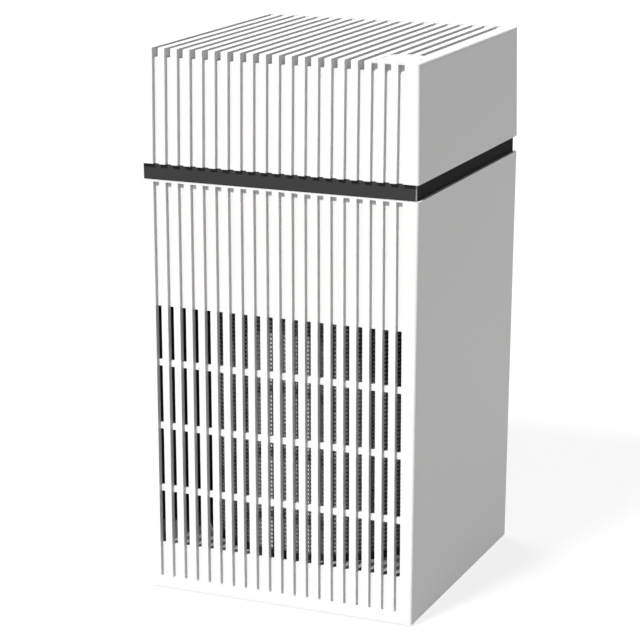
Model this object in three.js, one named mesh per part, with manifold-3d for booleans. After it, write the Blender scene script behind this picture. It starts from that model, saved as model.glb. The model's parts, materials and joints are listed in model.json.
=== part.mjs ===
// Tower air purifier: a grooved white case with a dark waist band, a drop-out filter and a top outlet.
// Millimetres, +Z up. The origin is the middle of the footprint, on the floor. The front faces -Y.
import * as THREE from "three";
import { mergeVertices } from "three/addons/utils/BufferGeometryUtils.js";
import Module from "manifold-3d";

const wasm = await Module();
wasm.setup();

// ---- Driving dimensions -------------------------------------------------------------------------

// The case is widest at the waist band, and each section narrows away from it by its mould draft.
const BAND_HALF = { x: 109.3, y: 107.8 };
const TOP_HALF = { x: 108.2, y: 106.2 };
const BOTTOM_HALF = { x: 106.7, y: 106.4 };
const HEIGHT = 413.5;
const PANEL_BOTTOM = 1.5;
const LOWER_TOP = 316.9;
const UPPER_BOTTOM = 328.9;
const BAND_RECESS = 3.2;
const CORNER_RADIUS = 2;
const GRILLE_THICKNESS = 4.8;
const SIDE_THICKNESS = 3;
const FIT_GAP = 0.3;

// Grooves run up the front and the rear, and over the top as open outlet slots.
const GROOVES = 20;
const GROOVE_PITCH = 10;
const GROOVE_WIDTH = 4.7;
const GROOVE_DEPTH = 2.8;
const GROOVE_BOTTOM = 10.6;
const GROOVE_TOP_RIM = 1;
const INLET_ROWS = 4;
const INLET_CENTRE = 129.2;
const INLET_HALF_SPAN = 92.85;
const CROSS_BAR = 4.8;
const CROSS_BAR_PITCH = 49.15;
const OUTLET_RIB_DEPTH = 12;
const NOTCH_DEPTH = 7;

// Control button, near the front right corner of the top.
const BUTTON = { x: 87.6, y: -84.2, radius: 13.6, travel: 0.8 };
const BUTTON_BORE = 15;
const BUTTON_PLATE = { radius: 18.5, thickness: 1.6 };

// Filter cartridge and the base that it drops out of.
const FILTER_RADIUS = 94;
const FILTER_CORE = 56;
const FILTER_BOTTOM = 29.5;
const FILTER_TOP = 226;
const CAP_THICKNESS = 10;
const TOP_CAP_THICKNESS = 8;
const PLEATS = 60;
const BASE_OPENING = 96;
const BASE_BOTTOM = 3.3;
const BASE_TOP = 35;
const FOOT = { radius: 8.5, height: 3 };
const POST = { x: 96.5, y: 88, radius: 6.5 };
const LUG_ANGLES = [30, 150, 270];
const LOCK_TURN = 30;

// Fan, motor and their housing.
const DECK_BOTTOM = 229;
const DECK_THICKNESS = 3;
const EYE_RADIUS = 58;
const IMPELLER_RADIUS = 74;
const IMPELLER_BOTTOM = 238;
const IMPELLER_HEIGHT = 38;
const BLADES = 9;
const DUCT_RADIUS = 85;
const DUCT_WALL = 3;
const MOUNT_Z = 281;
const MOTOR_RADIUS = 30;
const MOTOR_BOTTOM = 284.3;
const MOTOR_HEIGHT = 26;
const SHAFT_RADIUS = 3;

// Facets of round pieces: large rings, parts the size of a hand, small parts and bores.
const LARGE = 32;
const MEDIUM = 24;
const SMALL = 16;
const TINY = 8;

// ---- Solids and joins ---------------------------------------------------------------------------

function solid(geometry) {
  const bare = geometry.clone();
  bare.deleteAttribute("normal");
  bare.deleteAttribute("uv");
  const merged = mergeVertices(bare, 1e-4);
  const vertProperties = new Float32Array(merged.attributes.position.array);
  const triVerts = new Uint32Array(merged.index.array);
  return new wasm.Manifold(new wasm.Mesh({ numProp: 3, vertProperties, triVerts }));
}

function unite(...pieces) {
  return pieces.reduce((all, piece) => all.add(piece));
}

function cut(body, ...cutters) {
  return body.subtract(unite(...cutters));
}

function keep(body, region) {
  return body.intersect(region);
}

function geometryOf(body) {
  const { numProp, vertProperties, triVerts } = body.getMesh();
  const position = new Float32Array((vertProperties.length / numProp) * 3);
  for (let i = 0; i < position.length / 3; i++) {
    position.set(vertProperties.subarray(i * numProp, i * numProp + 3), i * 3);
  }
  return new THREE.BufferGeometry()
    .setAttribute("position", new THREE.BufferAttribute(position, 3))
    .setIndex(new THREE.BufferAttribute(new Uint32Array(triVerts), 1));
}

// ---- Basic shapes -------------------------------------------------------------------------------

function boxGeometry(x, y, z) {
  return new THREE.BoxGeometry(x[1] - x[0], y[1] - y[0], z[1] - z[0]).translate(
    (x[0] + x[1]) / 2,
    (y[0] + y[1]) / 2,
    (z[0] + z[1]) / 2,
  );
}

function box(x, y, z) {
  return solid(boxGeometry(x, y, z));
}

// An upright round bar from z[0] to z[1].
function bar(radius, z, { x = 0, y = 0, sides = MEDIUM } = {}) {
  const height = z[1] - z[0];
  return solid(
    new THREE.CylinderGeometry(radius, radius, height, sides)
      .rotateX(Math.PI / 2)
      .translate(x, y, z[0] + height / 2),
  );
}

// A round piece turned about the Z axis. Its closed profile lists [radius, z] anticlockwise.
function turned(profile, sides = LARGE) {
  const points = [...profile, profile[0]].map(([r, z]) => new THREE.Vector2(r, z));
  return solid(new THREE.LatheGeometry(points, sides).rotateX(Math.PI / 2));
}

function ring(inner, outer, z, sides = LARGE) {
  return turned(
    [
      [inner, z[0]],
      [outer, z[0]],
      [outer, z[1]],
      [inner, z[1]],
    ],
    sides,
  );
}

function roundedRectangle(halfX, halfY, radius) {
  const shape = new THREE.Shape();
  const corners = [
    [halfX, halfY],
    [-halfX, halfY],
    [-halfX, -halfY],
    [halfX, -halfY],
  ];
  corners.forEach(([x, y], i) => {
    const centreX = x - Math.sign(x) * radius;
    const centreY = y - Math.sign(y) * radius;
    shape.absarc(centreX, centreY, radius, (i * Math.PI) / 2, ((i + 1) * Math.PI) / 2);
  });
  return shape.closePath();
}

function plate(shape, z, curveSegments = 3) {
  const options = { depth: z[1] - z[0], bevelEnabled: false, curveSegments };
  return solid(new THREE.ExtrudeGeometry(shape, options).translate(0, 0, z[0]));
}

function block(halfX, halfY, z, radius = CORNER_RADIUS) {
  return plate(roundedRectangle(halfX, halfY, radius), z);
}

const mix = THREE.MathUtils.lerp;

function lowerHalf(z) {
  const t = (z - PANEL_BOTTOM) / (LOWER_TOP - PANEL_BOTTOM);
  return { x: mix(BOTTOM_HALF.x, BAND_HALF.x, t), y: mix(BOTTOM_HALF.y, BAND_HALF.y, t) };
}

function upperHalf(z) {
  const t = (z - UPPER_BOTTOM) / (HEIGHT - UPPER_BOTTOM);
  return { x: mix(BAND_HALF.x, TOP_HALF.x, t), y: mix(BAND_HALF.y, TOP_HALF.y, t) };
}

// A rounded block whose sides follow the draft, set in from the case's skin by wall.x and wall.y.
function drafted(halfAt, z, wall = { x: 0, y: 0 }) {
  const start = halfAt(z[0]);
  const options = { depth: z[1] - z[0], bevelEnabled: false, curveSegments: 3 };
  const outline = roundedRectangle(start.x - wall.x, start.y - wall.y, CORNER_RADIUS);
  const geometry = new THREE.ExtrudeGeometry(outline, options).translate(0, 0, z[0]);
  const position = geometry.attributes.position;
  for (let i = 0; i < position.count; i++) {
    const half = halfAt(position.getZ(i));
    position.setX(i, (position.getX(i) * (half.x - wall.x)) / (start.x - wall.x));
    position.setY(i, (position.getY(i) * (half.y - wall.y)) / (start.y - wall.y));
  }
  return solid(geometry);
}

// Copies of a piece, turned about the Z axis to each angle in degrees.
function around(angles, piece) {
  return angles.map((angle) => piece.rotate([0, 0, angle]));
}

const QUARTERS = [0, 90, 180, 270];
const CORNERS = [
  [1, 1],
  [-1, 1],
  [-1, -1],
  [1, -1],
];

// ---- Materials ----------------------------------------------------------------------------------

function plastic(color, roughness = 0.45) {
  return new THREE.MeshStandardMaterial({ color, roughness, metalness: 0 });
}

function metal(color, roughness = 0.35) {
  return new THREE.MeshStandardMaterial({ color, roughness, metalness: 1 });
}

const WHITE = plastic(0xf4f4f2, 0.4);
const CHARCOAL = plastic(0x2b2c2e, 0.5);
const BLACK = plastic(0x121314, 0.55);
const PALE = plastic(0xd8d8d4, 0.5);
const RUBBER = plastic(0x1b1b1b, 0.85);
const FOAM = plastic(0x3a3b3c, 0.95);
const NET = plastic(0x8d8f90, 0.7);
const PAPER = plastic(0xefece4, 0.9);
const CARBON = plastic(0x232323, 0.95);
const DIFFUSER = plastic(0xe8f0f4, 0.3);
const BOARD = plastic(0x1f5f3a, 0.5);
const STEEL = metal(0xb8babc);
const COPPER = metal(0xb46a3c, 0.4);

const purifier = new THREE.Group();

function add(name, body, material) {
  const mesh = new THREE.Mesh(geometryOf(body), material);
  mesh.name = name;
  purifier.add(mesh);
  return mesh;
}

// ---- Case: grooved front and rear, plain sides, waist band and top cover --------------------------

function grooveX(i) {
  return (i - (GROOVES - 1) / 2) * GROOVE_PITCH;
}

const grooveNumbers = Array.from({ length: GROOVES }, (_, i) => i);

// A groove cutter for the front, round at its lower end and leaning with the skin.
function grooveCutter(centreX, z, halfAt, roundEnd) {
  const half = GROOVE_WIDTH / 2;
  const outline = new THREE.Shape();
  outline.moveTo(centreX + half, z[1]);
  outline.lineTo(centreX - half, z[1]);
  if (roundEnd) {
    outline.absarc(centreX, z[0] + half, half, Math.PI, 2 * Math.PI);
  } else {
    outline.lineTo(centreX - half, z[0]);
    outline.lineTo(centreX + half, z[0]);
  }
  outline.closePath();
  const outside = 4;
  const options = { depth: GROOVE_DEPTH + outside, bevelEnabled: false, curveSegments: 3 };
  const geometry = new THREE.ExtrudeGeometry(outline, options).rotateX(Math.PI / 2);
  const position = geometry.attributes.position;
  for (let i = 0; i < position.count; i++) {
    const skin = -halfAt(position.getZ(i)).y;
    position.setY(i, position.getY(i) + skin + GROOVE_DEPTH);
  }
  return solid(geometry);
}

function inletRow(row) {
  const low = INLET_CENTRE + (row - INLET_ROWS / 2) * CROSS_BAR_PITCH + CROSS_BAR / 2;
  const high = low + CROSS_BAR_PITCH - CROSS_BAR;
  return [
    Math.max(low, INLET_CENTRE - INLET_HALF_SPAN),
    Math.min(high, INLET_CENTRE + INLET_HALF_SPAN),
  ];
}

function inletCutters(centreX) {
  const x = [centreX - GROOVE_WIDTH / 2, centreX + GROOVE_WIDTH / 2];
  const y = [-BAND_HALF.y - 1, -BOTTOM_HALF.y + GRILLE_THICKNESS + 2];
  return Array.from({ length: INLET_ROWS }, (_, row) => box(x, y, inletRow(row)));
}

const SEAM_Y = 100.6;
const CASE_REACH = 120;
const lowerSpan = [PANEL_BOTTOM, LOWER_TOP];
const lowerSleeve = cut(
  drafted(lowerHalf, lowerSpan),
  drafted(lowerHalf, [PANEL_BOTTOM - 1, LOWER_TOP + 1], { x: SIDE_THICKNESS, y: GRILLE_THICKNESS }),
);

const grille = cut(
  keep(
    lowerSleeve,
    box([-CASE_REACH, CASE_REACH], [-CASE_REACH, -SEAM_Y - FIT_GAP / 2], [0, HEIGHT]),
  ),
  ...grooveNumbers.map((i) =>
    grooveCutter(grooveX(i), [GROOVE_BOTTOM, LOWER_TOP - GROOVE_TOP_RIM], lowerHalf, true),
  ),
  ...grooveNumbers.flatMap((i) => inletCutters(grooveX(i))),
);
add("front_grille", grille, WHITE);

// The rear is the same moulding turned round, with a pocket and an opening for the power socket.
const SOCKET = { x: -72, z: 20.5, halfWidth: 13, halfHeight: 8.5, flange: 3.4, depth: 18 };
const socketFace = lowerHalf(SOCKET.z).y;

function socketBox(grow, y) {
  return box(
    [SOCKET.x - SOCKET.halfWidth - grow, SOCKET.x + SOCKET.halfWidth + grow],
    y,
    [SOCKET.z - SOCKET.halfHeight - grow, SOCKET.z + SOCKET.halfHeight + grow],
  );
}

const flangePlane = socketFace - GROOVE_DEPTH;
add(
  "rear_grille",
  cut(
    grille.rotate([0, 0, 180]),
    socketBox(SOCKET.flange + FIT_GAP, [flangePlane, CASE_REACH]),
    socketBox(FIT_GAP, [90, CASE_REACH]),
  ),
  WHITE,
);

// Each side panel carries two bosses for the base screws.
const BOSS_TOP = 48;
const SCREW = { shank: 1.9, bore: 2.2, head: 3.6, headHeight: 2.4 };

function sidePanel(side) {
  const reach = side > 0 ? [0, CASE_REACH] : [-CASE_REACH, 0];
  const wall = keep(
    lowerSleeve,
    box(reach, [-SEAM_Y + FIT_GAP / 2, SEAM_Y - FIT_GAP / 2], [0, HEIGHT]),
  );
  const bosses = [-1, 1].map((end) => {
    const at = { x: side * (POST.x + 2), y: end * POST.y, sides: SMALL };
    return bar(5.8, [BASE_TOP + FIT_GAP, BOSS_TOP], at);
  });
  const bores = [-1, 1].map((end) =>
    bar(SCREW.bore, [BASE_TOP - 1, BOSS_TOP - 3], { x: side * POST.x, y: end * POST.y, sides: TINY }),
  );
  return cut(unite(wall, ...bosses), ...bores);
}
add("left_side_panel", sidePanel(-1), WHITE);
add("right_side_panel", sidePanel(1), WHITE);

// The waist band is a shallow tray with a round air opening, ribs to hold the panels, and posts.
const BAND = { bottom: LOWER_TOP + FIT_GAP, top: UPPER_BOTTOM - FIT_GAP, opening: 92.6 };
const bandHalf = { x: BAND_HALF.x - BAND_RECESS, y: BAND_HALF.y - BAND_RECESS };
const BAND_WALL = 2.5;
const COVER_SCREW = { x: 97, y: 90 };
const DUCT_SCREW_RADIUS = 96.6;
const FLANGE_RADIUS = 101;
const LEAD_HOLE = { x: -78, y: 78, radius: 5 };
const bandSpan = [BAND.bottom, BAND.top];
const bandRelief = cut(
  block(bandHalf.x - BAND_WALL, bandHalf.y - BAND_WALL, [BAND.bottom - 1, BAND.top - 3]),
  bar(BAND.opening + BAND_WALL, [BAND.bottom - 2, BAND.top], { sides: LARGE }),
);
const coverPosts = CORNERS.map(([sx, sy]) =>
  bar(5, bandSpan, { x: sx * COVER_SCREW.x, y: sy * COVER_SCREW.y, sides: TINY }),
);
const ductPosts = around(QUARTERS, bar(4.2, bandSpan, { x: DUCT_SCREW_RADIUS, sides: TINY }));
const panelRibs = [-1, 1].flatMap((side) => [
  box([-80, 80], [side * 102.1 - 0.7, side * 102.1 + 0.7], [308, BAND.bottom + 2]),
  box([side * 104.6 - 1, side * 104.6 + 1], [-75, 75], [308, BAND.bottom + 2]),
  box([-85, 85], [side * 101.2 - 1, side * 101.2 + 1], [BAND.top - 2, BAND.top + 7]),
]);
add(
  "middle_band",
  cut(
    unite(
      cut(block(bandHalf.x, bandHalf.y, bandSpan), bandRelief),
      ...coverPosts,
      ...ductPosts,
      ...panelRibs,
    ),
    bar(BAND.opening, [BAND.bottom - 20, BAND.top + 20], { sides: LARGE }),
    bar(LEAD_HOLE.radius, [BAND.bottom - 1, BAND.top + 1], { ...LEAD_HOLE, sides: TINY }),
    ...CORNERS.map(([sx, sy]) =>
      bar(SCREW.bore, [BAND.bottom - 1, BAND.top + 1], {
        x: sx * COVER_SCREW.x,
        y: sy * COVER_SCREW.y,
        sides: TINY,
      }),
    ),
    ...CORNERS.map(([sx, sy]) =>
      bar(SCREW.head + 0.4, [BAND.bottom - 1, BAND.bottom + 3.2], {
        x: sx * COVER_SCREW.x,
        y: sy * COVER_SCREW.y,
        sides: TINY,
      }),
    ),
    ...around(
      QUARTERS,
      bar(SCREW.bore, [BAND.bottom - 1, BAND.top - 1.5], { x: DUCT_SCREW_RADIUS, sides: TINY }),
    ),
  ),
  BLACK,
);

// The top cover's slots leave deep ribs, tied together below by a cross bar.
const RIB_FOOT = HEIGHT - OUTLET_RIB_DEPTH;
const TIE_BAR = { halfWidth: 2, depth: 3 };
const COVERED_GROOVES = 3;
const rearWallFace = TOP_HALF.y - GRILLE_THICKNESS;

function outletSlot(i) {
  const x = [grooveX(i) - GROOVE_WIDTH / 2, grooveX(i) + GROOVE_WIDTH / 2];
  return [
    box(x, [-TOP_HALF.y + GRILLE_THICKNESS - 1, rearWallFace], [RIB_FOOT - 1, HEIGHT + 1]),
    box(x, [-CASE_REACH, -TOP_HALF.y + GRILLE_THICKNESS], [HEIGHT - NOTCH_DEPTH, HEIGHT + 1]),
  ];
}

const coverSkin = drafted(upperHalf, [UPPER_BOTTOM, HEIGHT]);
const coverShell = cut(
  coverSkin,
  drafted(upperHalf, [UPPER_BOTTOM - 1, RIB_FOOT], { x: SIDE_THICKNESS, y: GRILLE_THICKNESS }),
  ...grooveNumbers.flatMap((i) => outletSlot(i)),
);
const buttonAt = { x: BUTTON.x, y: BUTTON.y };
const plateSpan = [HEIGHT - BUTTON_PLATE.thickness, HEIGHT];
const buttonPlate = keep(
  unite(
    bar(BUTTON_PLATE.radius, plateSpan, { ...buttonAt, sides: MEDIUM }),
    box([grooveX(GROOVES - COVERED_GROOVES) - 1, 102], [-CASE_REACH, BUTTON.y], plateSpan),
  ),
  coverSkin,
);
const coverBosses = CORNERS.map(([sx, sy]) =>
  bar(5.2, [UPPER_BOTTOM + 1, 350], { x: sx * 101.5, y: sy * COVER_SCREW.y, sides: SMALL }),
);
const frontGrooves = grooveNumbers.map((i) =>
  grooveCutter(grooveX(i), [UPPER_BOTTOM - 1, HEIGHT - NOTCH_DEPTH + 0.5], upperHalf, false),
);
const rearGrooves = grooveNumbers.map((i) =>
  grooveCutter(grooveX(i), [UPPER_BOTTOM - 1, HEIGHT - NOTCH_DEPTH], upperHalf, false),
);
const CUP = { radius: 17.2, top: HEIGHT - BUTTON_PLATE.thickness - FIT_GAP, bottom: 397.5 };
add(
  "top_cover",
  cut(
    unite(
      coverShell,
      buttonPlate,
      box(
        [-TOP_HALF.x + 2, TOP_HALF.x - 2],
        [-TIE_BAR.halfWidth, TIE_BAR.halfWidth],
        [RIB_FOOT - TIE_BAR.depth, RIB_FOOT],
      ),
      ...coverBosses,
    ),
    ...frontGrooves,
    ...rearGrooves.map((groove) => groove.rotate([0, 0, 180])),
    bar(BUTTON_BORE, [CUP.bottom - 1, HEIGHT + 1], { ...buttonAt, sides: MEDIUM }),
    bar(CUP.radius + FIT_GAP, [CUP.bottom - 1, plateSpan[0]], { ...buttonAt, sides: MEDIUM }),
    ...CORNERS.map(([sx, sy]) =>
      bar(SCREW.bore, [UPPER_BOTTOM, 346], {
        x: sx * COVER_SCREW.x,
        y: sy * COVER_SCREW.y,
        sides: TINY,
      }),
    ),
  ),
  WHITE,
);

// ---- Control: button, ring, spring, switch and board in a cup --------------------------------------

function addAt(name, body, material, x, y) {
  const mesh = add(name, body, material);
  mesh.position.set(x, y, 0);
  return mesh;
}

const BUTTON_SKIRT = HEIGHT - 2.6;
const STEM = { radius: 3, bottom: 407 };
addAt(
  "power_button",
  unite(
    bar(BUTTON.radius, [BUTTON_SKIRT, HEIGHT], { sides: MEDIUM }),
    bar(STEM.radius, [STEM.bottom, HEIGHT - 1]),
  ),
  WHITE,
  BUTTON.x,
  BUTTON.y,
);
const RING_BOTTOM = 407.2;
addAt("light_ring", ring(14, 14.7, [RING_BOTTOM, HEIGHT - 0.5], MEDIUM), DIFFUSER, BUTTON.x, BUTTON.y);
const CUP_FLOOR = 1.6;
addAt(
  "control_cup",
  turned(
    [
      [0, CUP.bottom],
      [CUP.radius, CUP.bottom],
      [CUP.radius, CUP.top],
      [CUP.radius - 1.6, CUP.top],
      [CUP.radius - 1.6, CUP.bottom + CUP_FLOOR],
      [0, CUP.bottom + CUP_FLOOR],
    ],
    MEDIUM,
  ).subtract(bar(2.2, [CUP.bottom - 1, CUP.top], { x: -12, sides: TINY })),
  BLACK,
  BUTTON.x,
  BUTTON.y,
);
const boardTop = CUP.bottom + CUP_FLOOR + FIT_GAP + 1.6;
addAt(
  "control_board",
  cut(
    bar(15.2, [boardTop - 1.6, boardTop], { sides: MEDIUM }),
    bar(2.2, [boardTop - 2, boardTop + 1], { x: -12, sides: TINY }),
  ),
  BOARD,
  BUTTON.x,
  BUTTON.y,
);
const switchTop = boardTop + FIT_GAP + 3.3;
addAt(
  "tact_switch",
  unite(
    box([-3, 3], [-3, 3], [boardTop + FIT_GAP, switchTop]),
    bar(1.7, [switchTop - 1, STEM.bottom - BUTTON.travel - 0.2], { sides: TINY }),
  ),
  BLACK,
  BUTTON.x,
  BUTTON.y,
);

class Helix extends THREE.Curve {
  constructor(radius, z, turns) {
    super();
    this.radius = radius;
    this.z = z;
    this.turns = turns;
  }
  getPoint(t, target = new THREE.Vector3()) {
    const angle = t * this.turns * 2 * Math.PI;
    const height = mix(this.z[0], this.z[1], t);
    return target.set(this.radius * Math.cos(angle), this.radius * Math.sin(angle), height);
  }
}

// A rod of the given section radius swept along a curve.
function swept(curve, radius, steps, sides = 6) {
  const section = new THREE.Shape();
  for (let i = 0; i < sides; i++) {
    const angle = (i / sides) * 2 * Math.PI;
    const point = [radius * Math.cos(angle), radius * Math.sin(angle)];
    if (i === 0) section.moveTo(...point);
    else section.lineTo(...point);
  }
  section.closePath();
  return solid(new THREE.ExtrudeGeometry(section, { steps, extrudePath: curve, bevelEnabled: false }));
}

const SPRING = { radius: 5.6, wire: 0.4, turns: 4.5 };
const springSpan = [boardTop + SPRING.wire + FIT_GAP, BUTTON_SKIRT - SPRING.wire - FIT_GAP];
addAt(
  "button_spring",
  swept(new Helix(SPRING.radius, springSpan, SPRING.turns), SPRING.wire, 36, 5),
  STEEL,
  BUTTON.x,
  BUTTON.y,
);

// ---- Base: frame, feet and power socket ------------------------------------------------------------

const baseHalf = {
  x: BOTTOM_HALF.x - SIDE_THICKNESS - FIT_GAP,
  y: BOTTOM_HALF.y - GRILLE_THICKNESS - FIT_GAP,
};
const BASE_WALL = 2.5;
const baseRelief = cut(
  block(baseHalf.x - BASE_WALL, baseHalf.y - BASE_WALL, [BASE_BOTTOM - 1, BASE_TOP - 3]),
  bar(BASE_OPENING + BASE_WALL, [BASE_BOTTOM - 2, BASE_TOP], { sides: LARGE }),
);
const LUG = { inner: 94, outer: 98, halfWidth: 6, z: [8, 11] };

function wedge(inner, outer, z, fromDegrees, toDegrees) {
  const shape = new THREE.Shape();
  const from = THREE.MathUtils.degToRad(fromDegrees);
  const to = THREE.MathUtils.degToRad(toDegrees);
  shape.absarc(0, 0, outer, from, to, false);
  shape.absarc(0, 0, inner, to, from, true);
  shape.closePath();
  return plate(shape, z, 6);
}

const SLOT_PLAY = 5.5;
const lockSlots = LUG_ANGLES.flatMap((angle) => [
  wedge(LUG.inner, 99.2, [BASE_BOTTOM - 1, LUG.z[1] + 0.5], angle - SLOT_PLAY, angle + SLOT_PLAY),
  wedge(
    LUG.inner,
    99.2,
    [LUG.z[0] - 0.5, LUG.z[1] + 0.5],
    angle - SLOT_PLAY,
    angle + LOCK_TURN + SLOT_PLAY,
  ),
]);
const posts = CORNERS.map(([sx, sy]) =>
  bar(POST.radius, [BASE_BOTTOM, BASE_TOP], { x: sx * POST.x, y: sy * POST.y, sides: SMALL }),
);
const LEAD_CORNER = { x: -84, y: 94.5 };
add(
  "base_frame",
  cut(
    keep(
      unite(
        cut(block(baseHalf.x, baseHalf.y, [BASE_BOTTOM, BASE_TOP]), baseRelief),
        ...posts,
      ),
      block(baseHalf.x, baseHalf.y, [0, BASE_TOP]),
    ),
    bar(BASE_OPENING, [0, BASE_TOP + 1], { sides: LARGE }),
    ...lockSlots,
    box(
      [SOCKET.x - SOCKET.halfWidth - 1, SOCKET.x + SOCKET.halfWidth + 1],
      [90, CASE_REACH],
      [BASE_BOTTOM - 1, SOCKET.z + SOCKET.halfHeight + 1],
    ),
    bar(2.8, [BASE_TOP - 4, BASE_TOP + 1], { ...LEAD_CORNER, sides: TINY }),
    ...CORNERS.flatMap(([sx, sy]) => {
      const at = { x: sx * POST.x, y: sy * POST.y, sides: TINY };
      return [
        bar(SCREW.bore, [BASE_BOTTOM - 1, BASE_TOP + 1], at),
        bar(SCREW.head + 0.4, [BASE_BOTTOM - 1, BASE_BOTTOM + 3.2], at),
      ];
    }),
  ),
  PALE,
);

const FOOT_INSET = 3;
const footNames = ["foot_rear_right", "foot_rear_left", "foot_front_left", "foot_front_right"];
CORNERS.forEach(([sx, sy], i) => {
  const foot = turned(
    [
      [0, 0],
      [FOOT.radius - 1, 0],
      [FOOT.radius, 1],
      [FOOT.radius, FOOT.height],
      [0, FOOT.height],
    ],
    SMALL,
  );
  addAt(footNames[i], foot, RUBBER, sx * (POST.x - FOOT_INSET), sy * (POST.y + FOOT_INSET - 2));
});

const socketInner = flangePlane - SOCKET.depth;
const socketMouth = socketFace - 0.6;
const CAVITY = { halfWidth: 10, halfHeight: 5.4, depth: 14 };
const PIN = { radius: 1.2, offset: 4.3, length: 8 };

// A short round bar along Y.
function pinAlongY(radius, x, y, z) {
  return solid(
    new THREE.CylinderGeometry(radius, radius, y[1] - y[0], TINY).translate(x, (y[0] + y[1]) / 2, z),
  );
}

add(
  "power_socket",
  unite(
    cut(
      unite(
        socketBox(SOCKET.flange, [flangePlane + FIT_GAP, socketMouth]),
        socketBox(0, [socketInner, flangePlane + 1]),
      ),
      box(
        [SOCKET.x - CAVITY.halfWidth, SOCKET.x + CAVITY.halfWidth],
        [socketMouth - CAVITY.depth, CASE_REACH],
        [SOCKET.z - CAVITY.halfHeight, SOCKET.z + CAVITY.halfHeight],
      ),
    ),
    ...[-1, 1].map((side) =>
      pinAlongY(
        PIN.radius,
        SOCKET.x + side * PIN.offset,
        [socketMouth - CAVITY.depth - 1, socketMouth - CAVITY.depth + PIN.length],
        SOCKET.z,
      ),
    ),
  ),
  BLACK,
);

// ---- Filter door and cartridge -----------------------------------------------------------------------

const DOOR = { radius: 95.4, bottom: 4, plate: 4, rimTop: 14, wall: 3 };
const GRIP = { halfX: 40, halfY: 25, top: 27, bar: 7, wall: 2.5 };
const doorShell = unite(
  turned([
    [0, DOOR.bottom],
    [DOOR.radius, DOOR.bottom],
    [DOOR.radius, DOOR.rimTop],
    [DOOR.radius - DOOR.wall, DOOR.rimTop],
    [DOOR.radius - DOOR.wall, DOOR.bottom + DOOR.plate],
    [0, DOOR.bottom + DOOR.plate],
  ]),
  ring(84, 87, [DOOR.bottom + 1, FILTER_BOTTOM - FIT_GAP]),
  box([-GRIP.halfX, GRIP.halfX], [-GRIP.halfY, GRIP.halfY], [DOOR.bottom + 1, GRIP.top]),
  ...LUG_ANGLES.map((angle) =>
    wedge(DOOR.radius - 1, LUG.outer, LUG.z, angle - LUG.halfWidth / 1.7, angle + LUG.halfWidth / 1.7),
  ),
);
const fingerPockets = [-1, 1].map((side) => {
  const edges = [side * GRIP.bar, side * (GRIP.halfY - GRIP.wall)].sort((a, b) => a - b);
  const x = [-GRIP.halfX + GRIP.wall, GRIP.halfX - GRIP.wall];
  return box(x, edges, [DOOR.bottom - 1, GRIP.top - GRIP.wall]);
});
add("filter_door", cut(doorShell, ...fingerPockets), WHITE);

const capWall = 2;
add(
  "filter_bottom_cap",
  turned([
    [0, FILTER_BOTTOM],
    [FILTER_RADIUS, FILTER_BOTTOM],
    [FILTER_RADIUS, FILTER_BOTTOM + CAP_THICKNESS],
    [FILTER_RADIUS - capWall, FILTER_BOTTOM + CAP_THICKNESS],
    [FILTER_RADIUS - capWall, FILTER_BOTTOM + 3],
    [0, FILTER_BOTTOM + 3],
  ]),
  BLACK,
);
const topCapBottom = FILTER_TOP - TOP_CAP_THICKNESS;
add(
  "filter_top_cap",
  turned([
    [FILTER_CORE - 1, FILTER_TOP - 3],
    [FILTER_RADIUS - capWall, FILTER_TOP - 3],
    [FILTER_RADIUS - capWall, topCapBottom],
    [FILTER_RADIUS, topCapBottom],
    [FILTER_RADIUS, FILTER_TOP],
    [FILTER_CORE - 1, FILTER_TOP],
  ]),
  BLACK,
);
add("filter_seal", ring(66, 78, [FILTER_TOP + FIT_GAP, DECK_BOTTOM - FIT_GAP], MEDIUM), FOAM);

// Each layer stands between the caps, a hair inside the one round it.
const NET_THICKNESS = 0.9;
const CARBON_THICKNESS = 5;
const netOuter = FILTER_RADIUS - 0.2;
const netInner = netOuter - NET_THICKNESS;
add(
  "filter_net",
  ring(netInner, netOuter, [FILTER_BOTTOM + CAP_THICKNESS + FIT_GAP, topCapBottom - FIT_GAP]),
  NET,
);
const mediaSpan = [FILTER_BOTTOM + 3 + FIT_GAP, FILTER_TOP - 3 - FIT_GAP];
const mediaOuter = FILTER_RADIUS - capWall - 1;
const carbonOuter = FILTER_CORE + CARBON_THICKNESS;

function pleatedOutline() {
  const shape = new THREE.Shape();
  const valley = mediaOuter - 7;
  for (let i = 0; i < 2 * PLEATS; i++) {
    const angle = (i * Math.PI) / PLEATS;
    const radius = i % 2 ? valley : mediaOuter;
    const point = [radius * Math.cos(angle), radius * Math.sin(angle)];
    if (i === 0) shape.moveTo(...point);
    else shape.lineTo(...point);
  }
  return shape.closePath();
}

add(
  "filter_media",
  cut(
    plate(pleatedOutline(), mediaSpan),
    bar(carbonOuter + FIT_GAP, [FILTER_BOTTOM, FILTER_TOP], { sides: MEDIUM }),
  ),
  PAPER,
);
add("filter_carbon_layer", ring(FILTER_CORE, carbonOuter, mediaSpan, MEDIUM), CARBON);
add("filter_pull_tab", box([-9, 9], [-80, -48], [FILTER_BOTTOM - 1.3, FILTER_BOTTOM - FIT_GAP]), FOAM);

// ---- Fan: deck, guard, duct, impeller and motor ------------------------------------------------------

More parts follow.
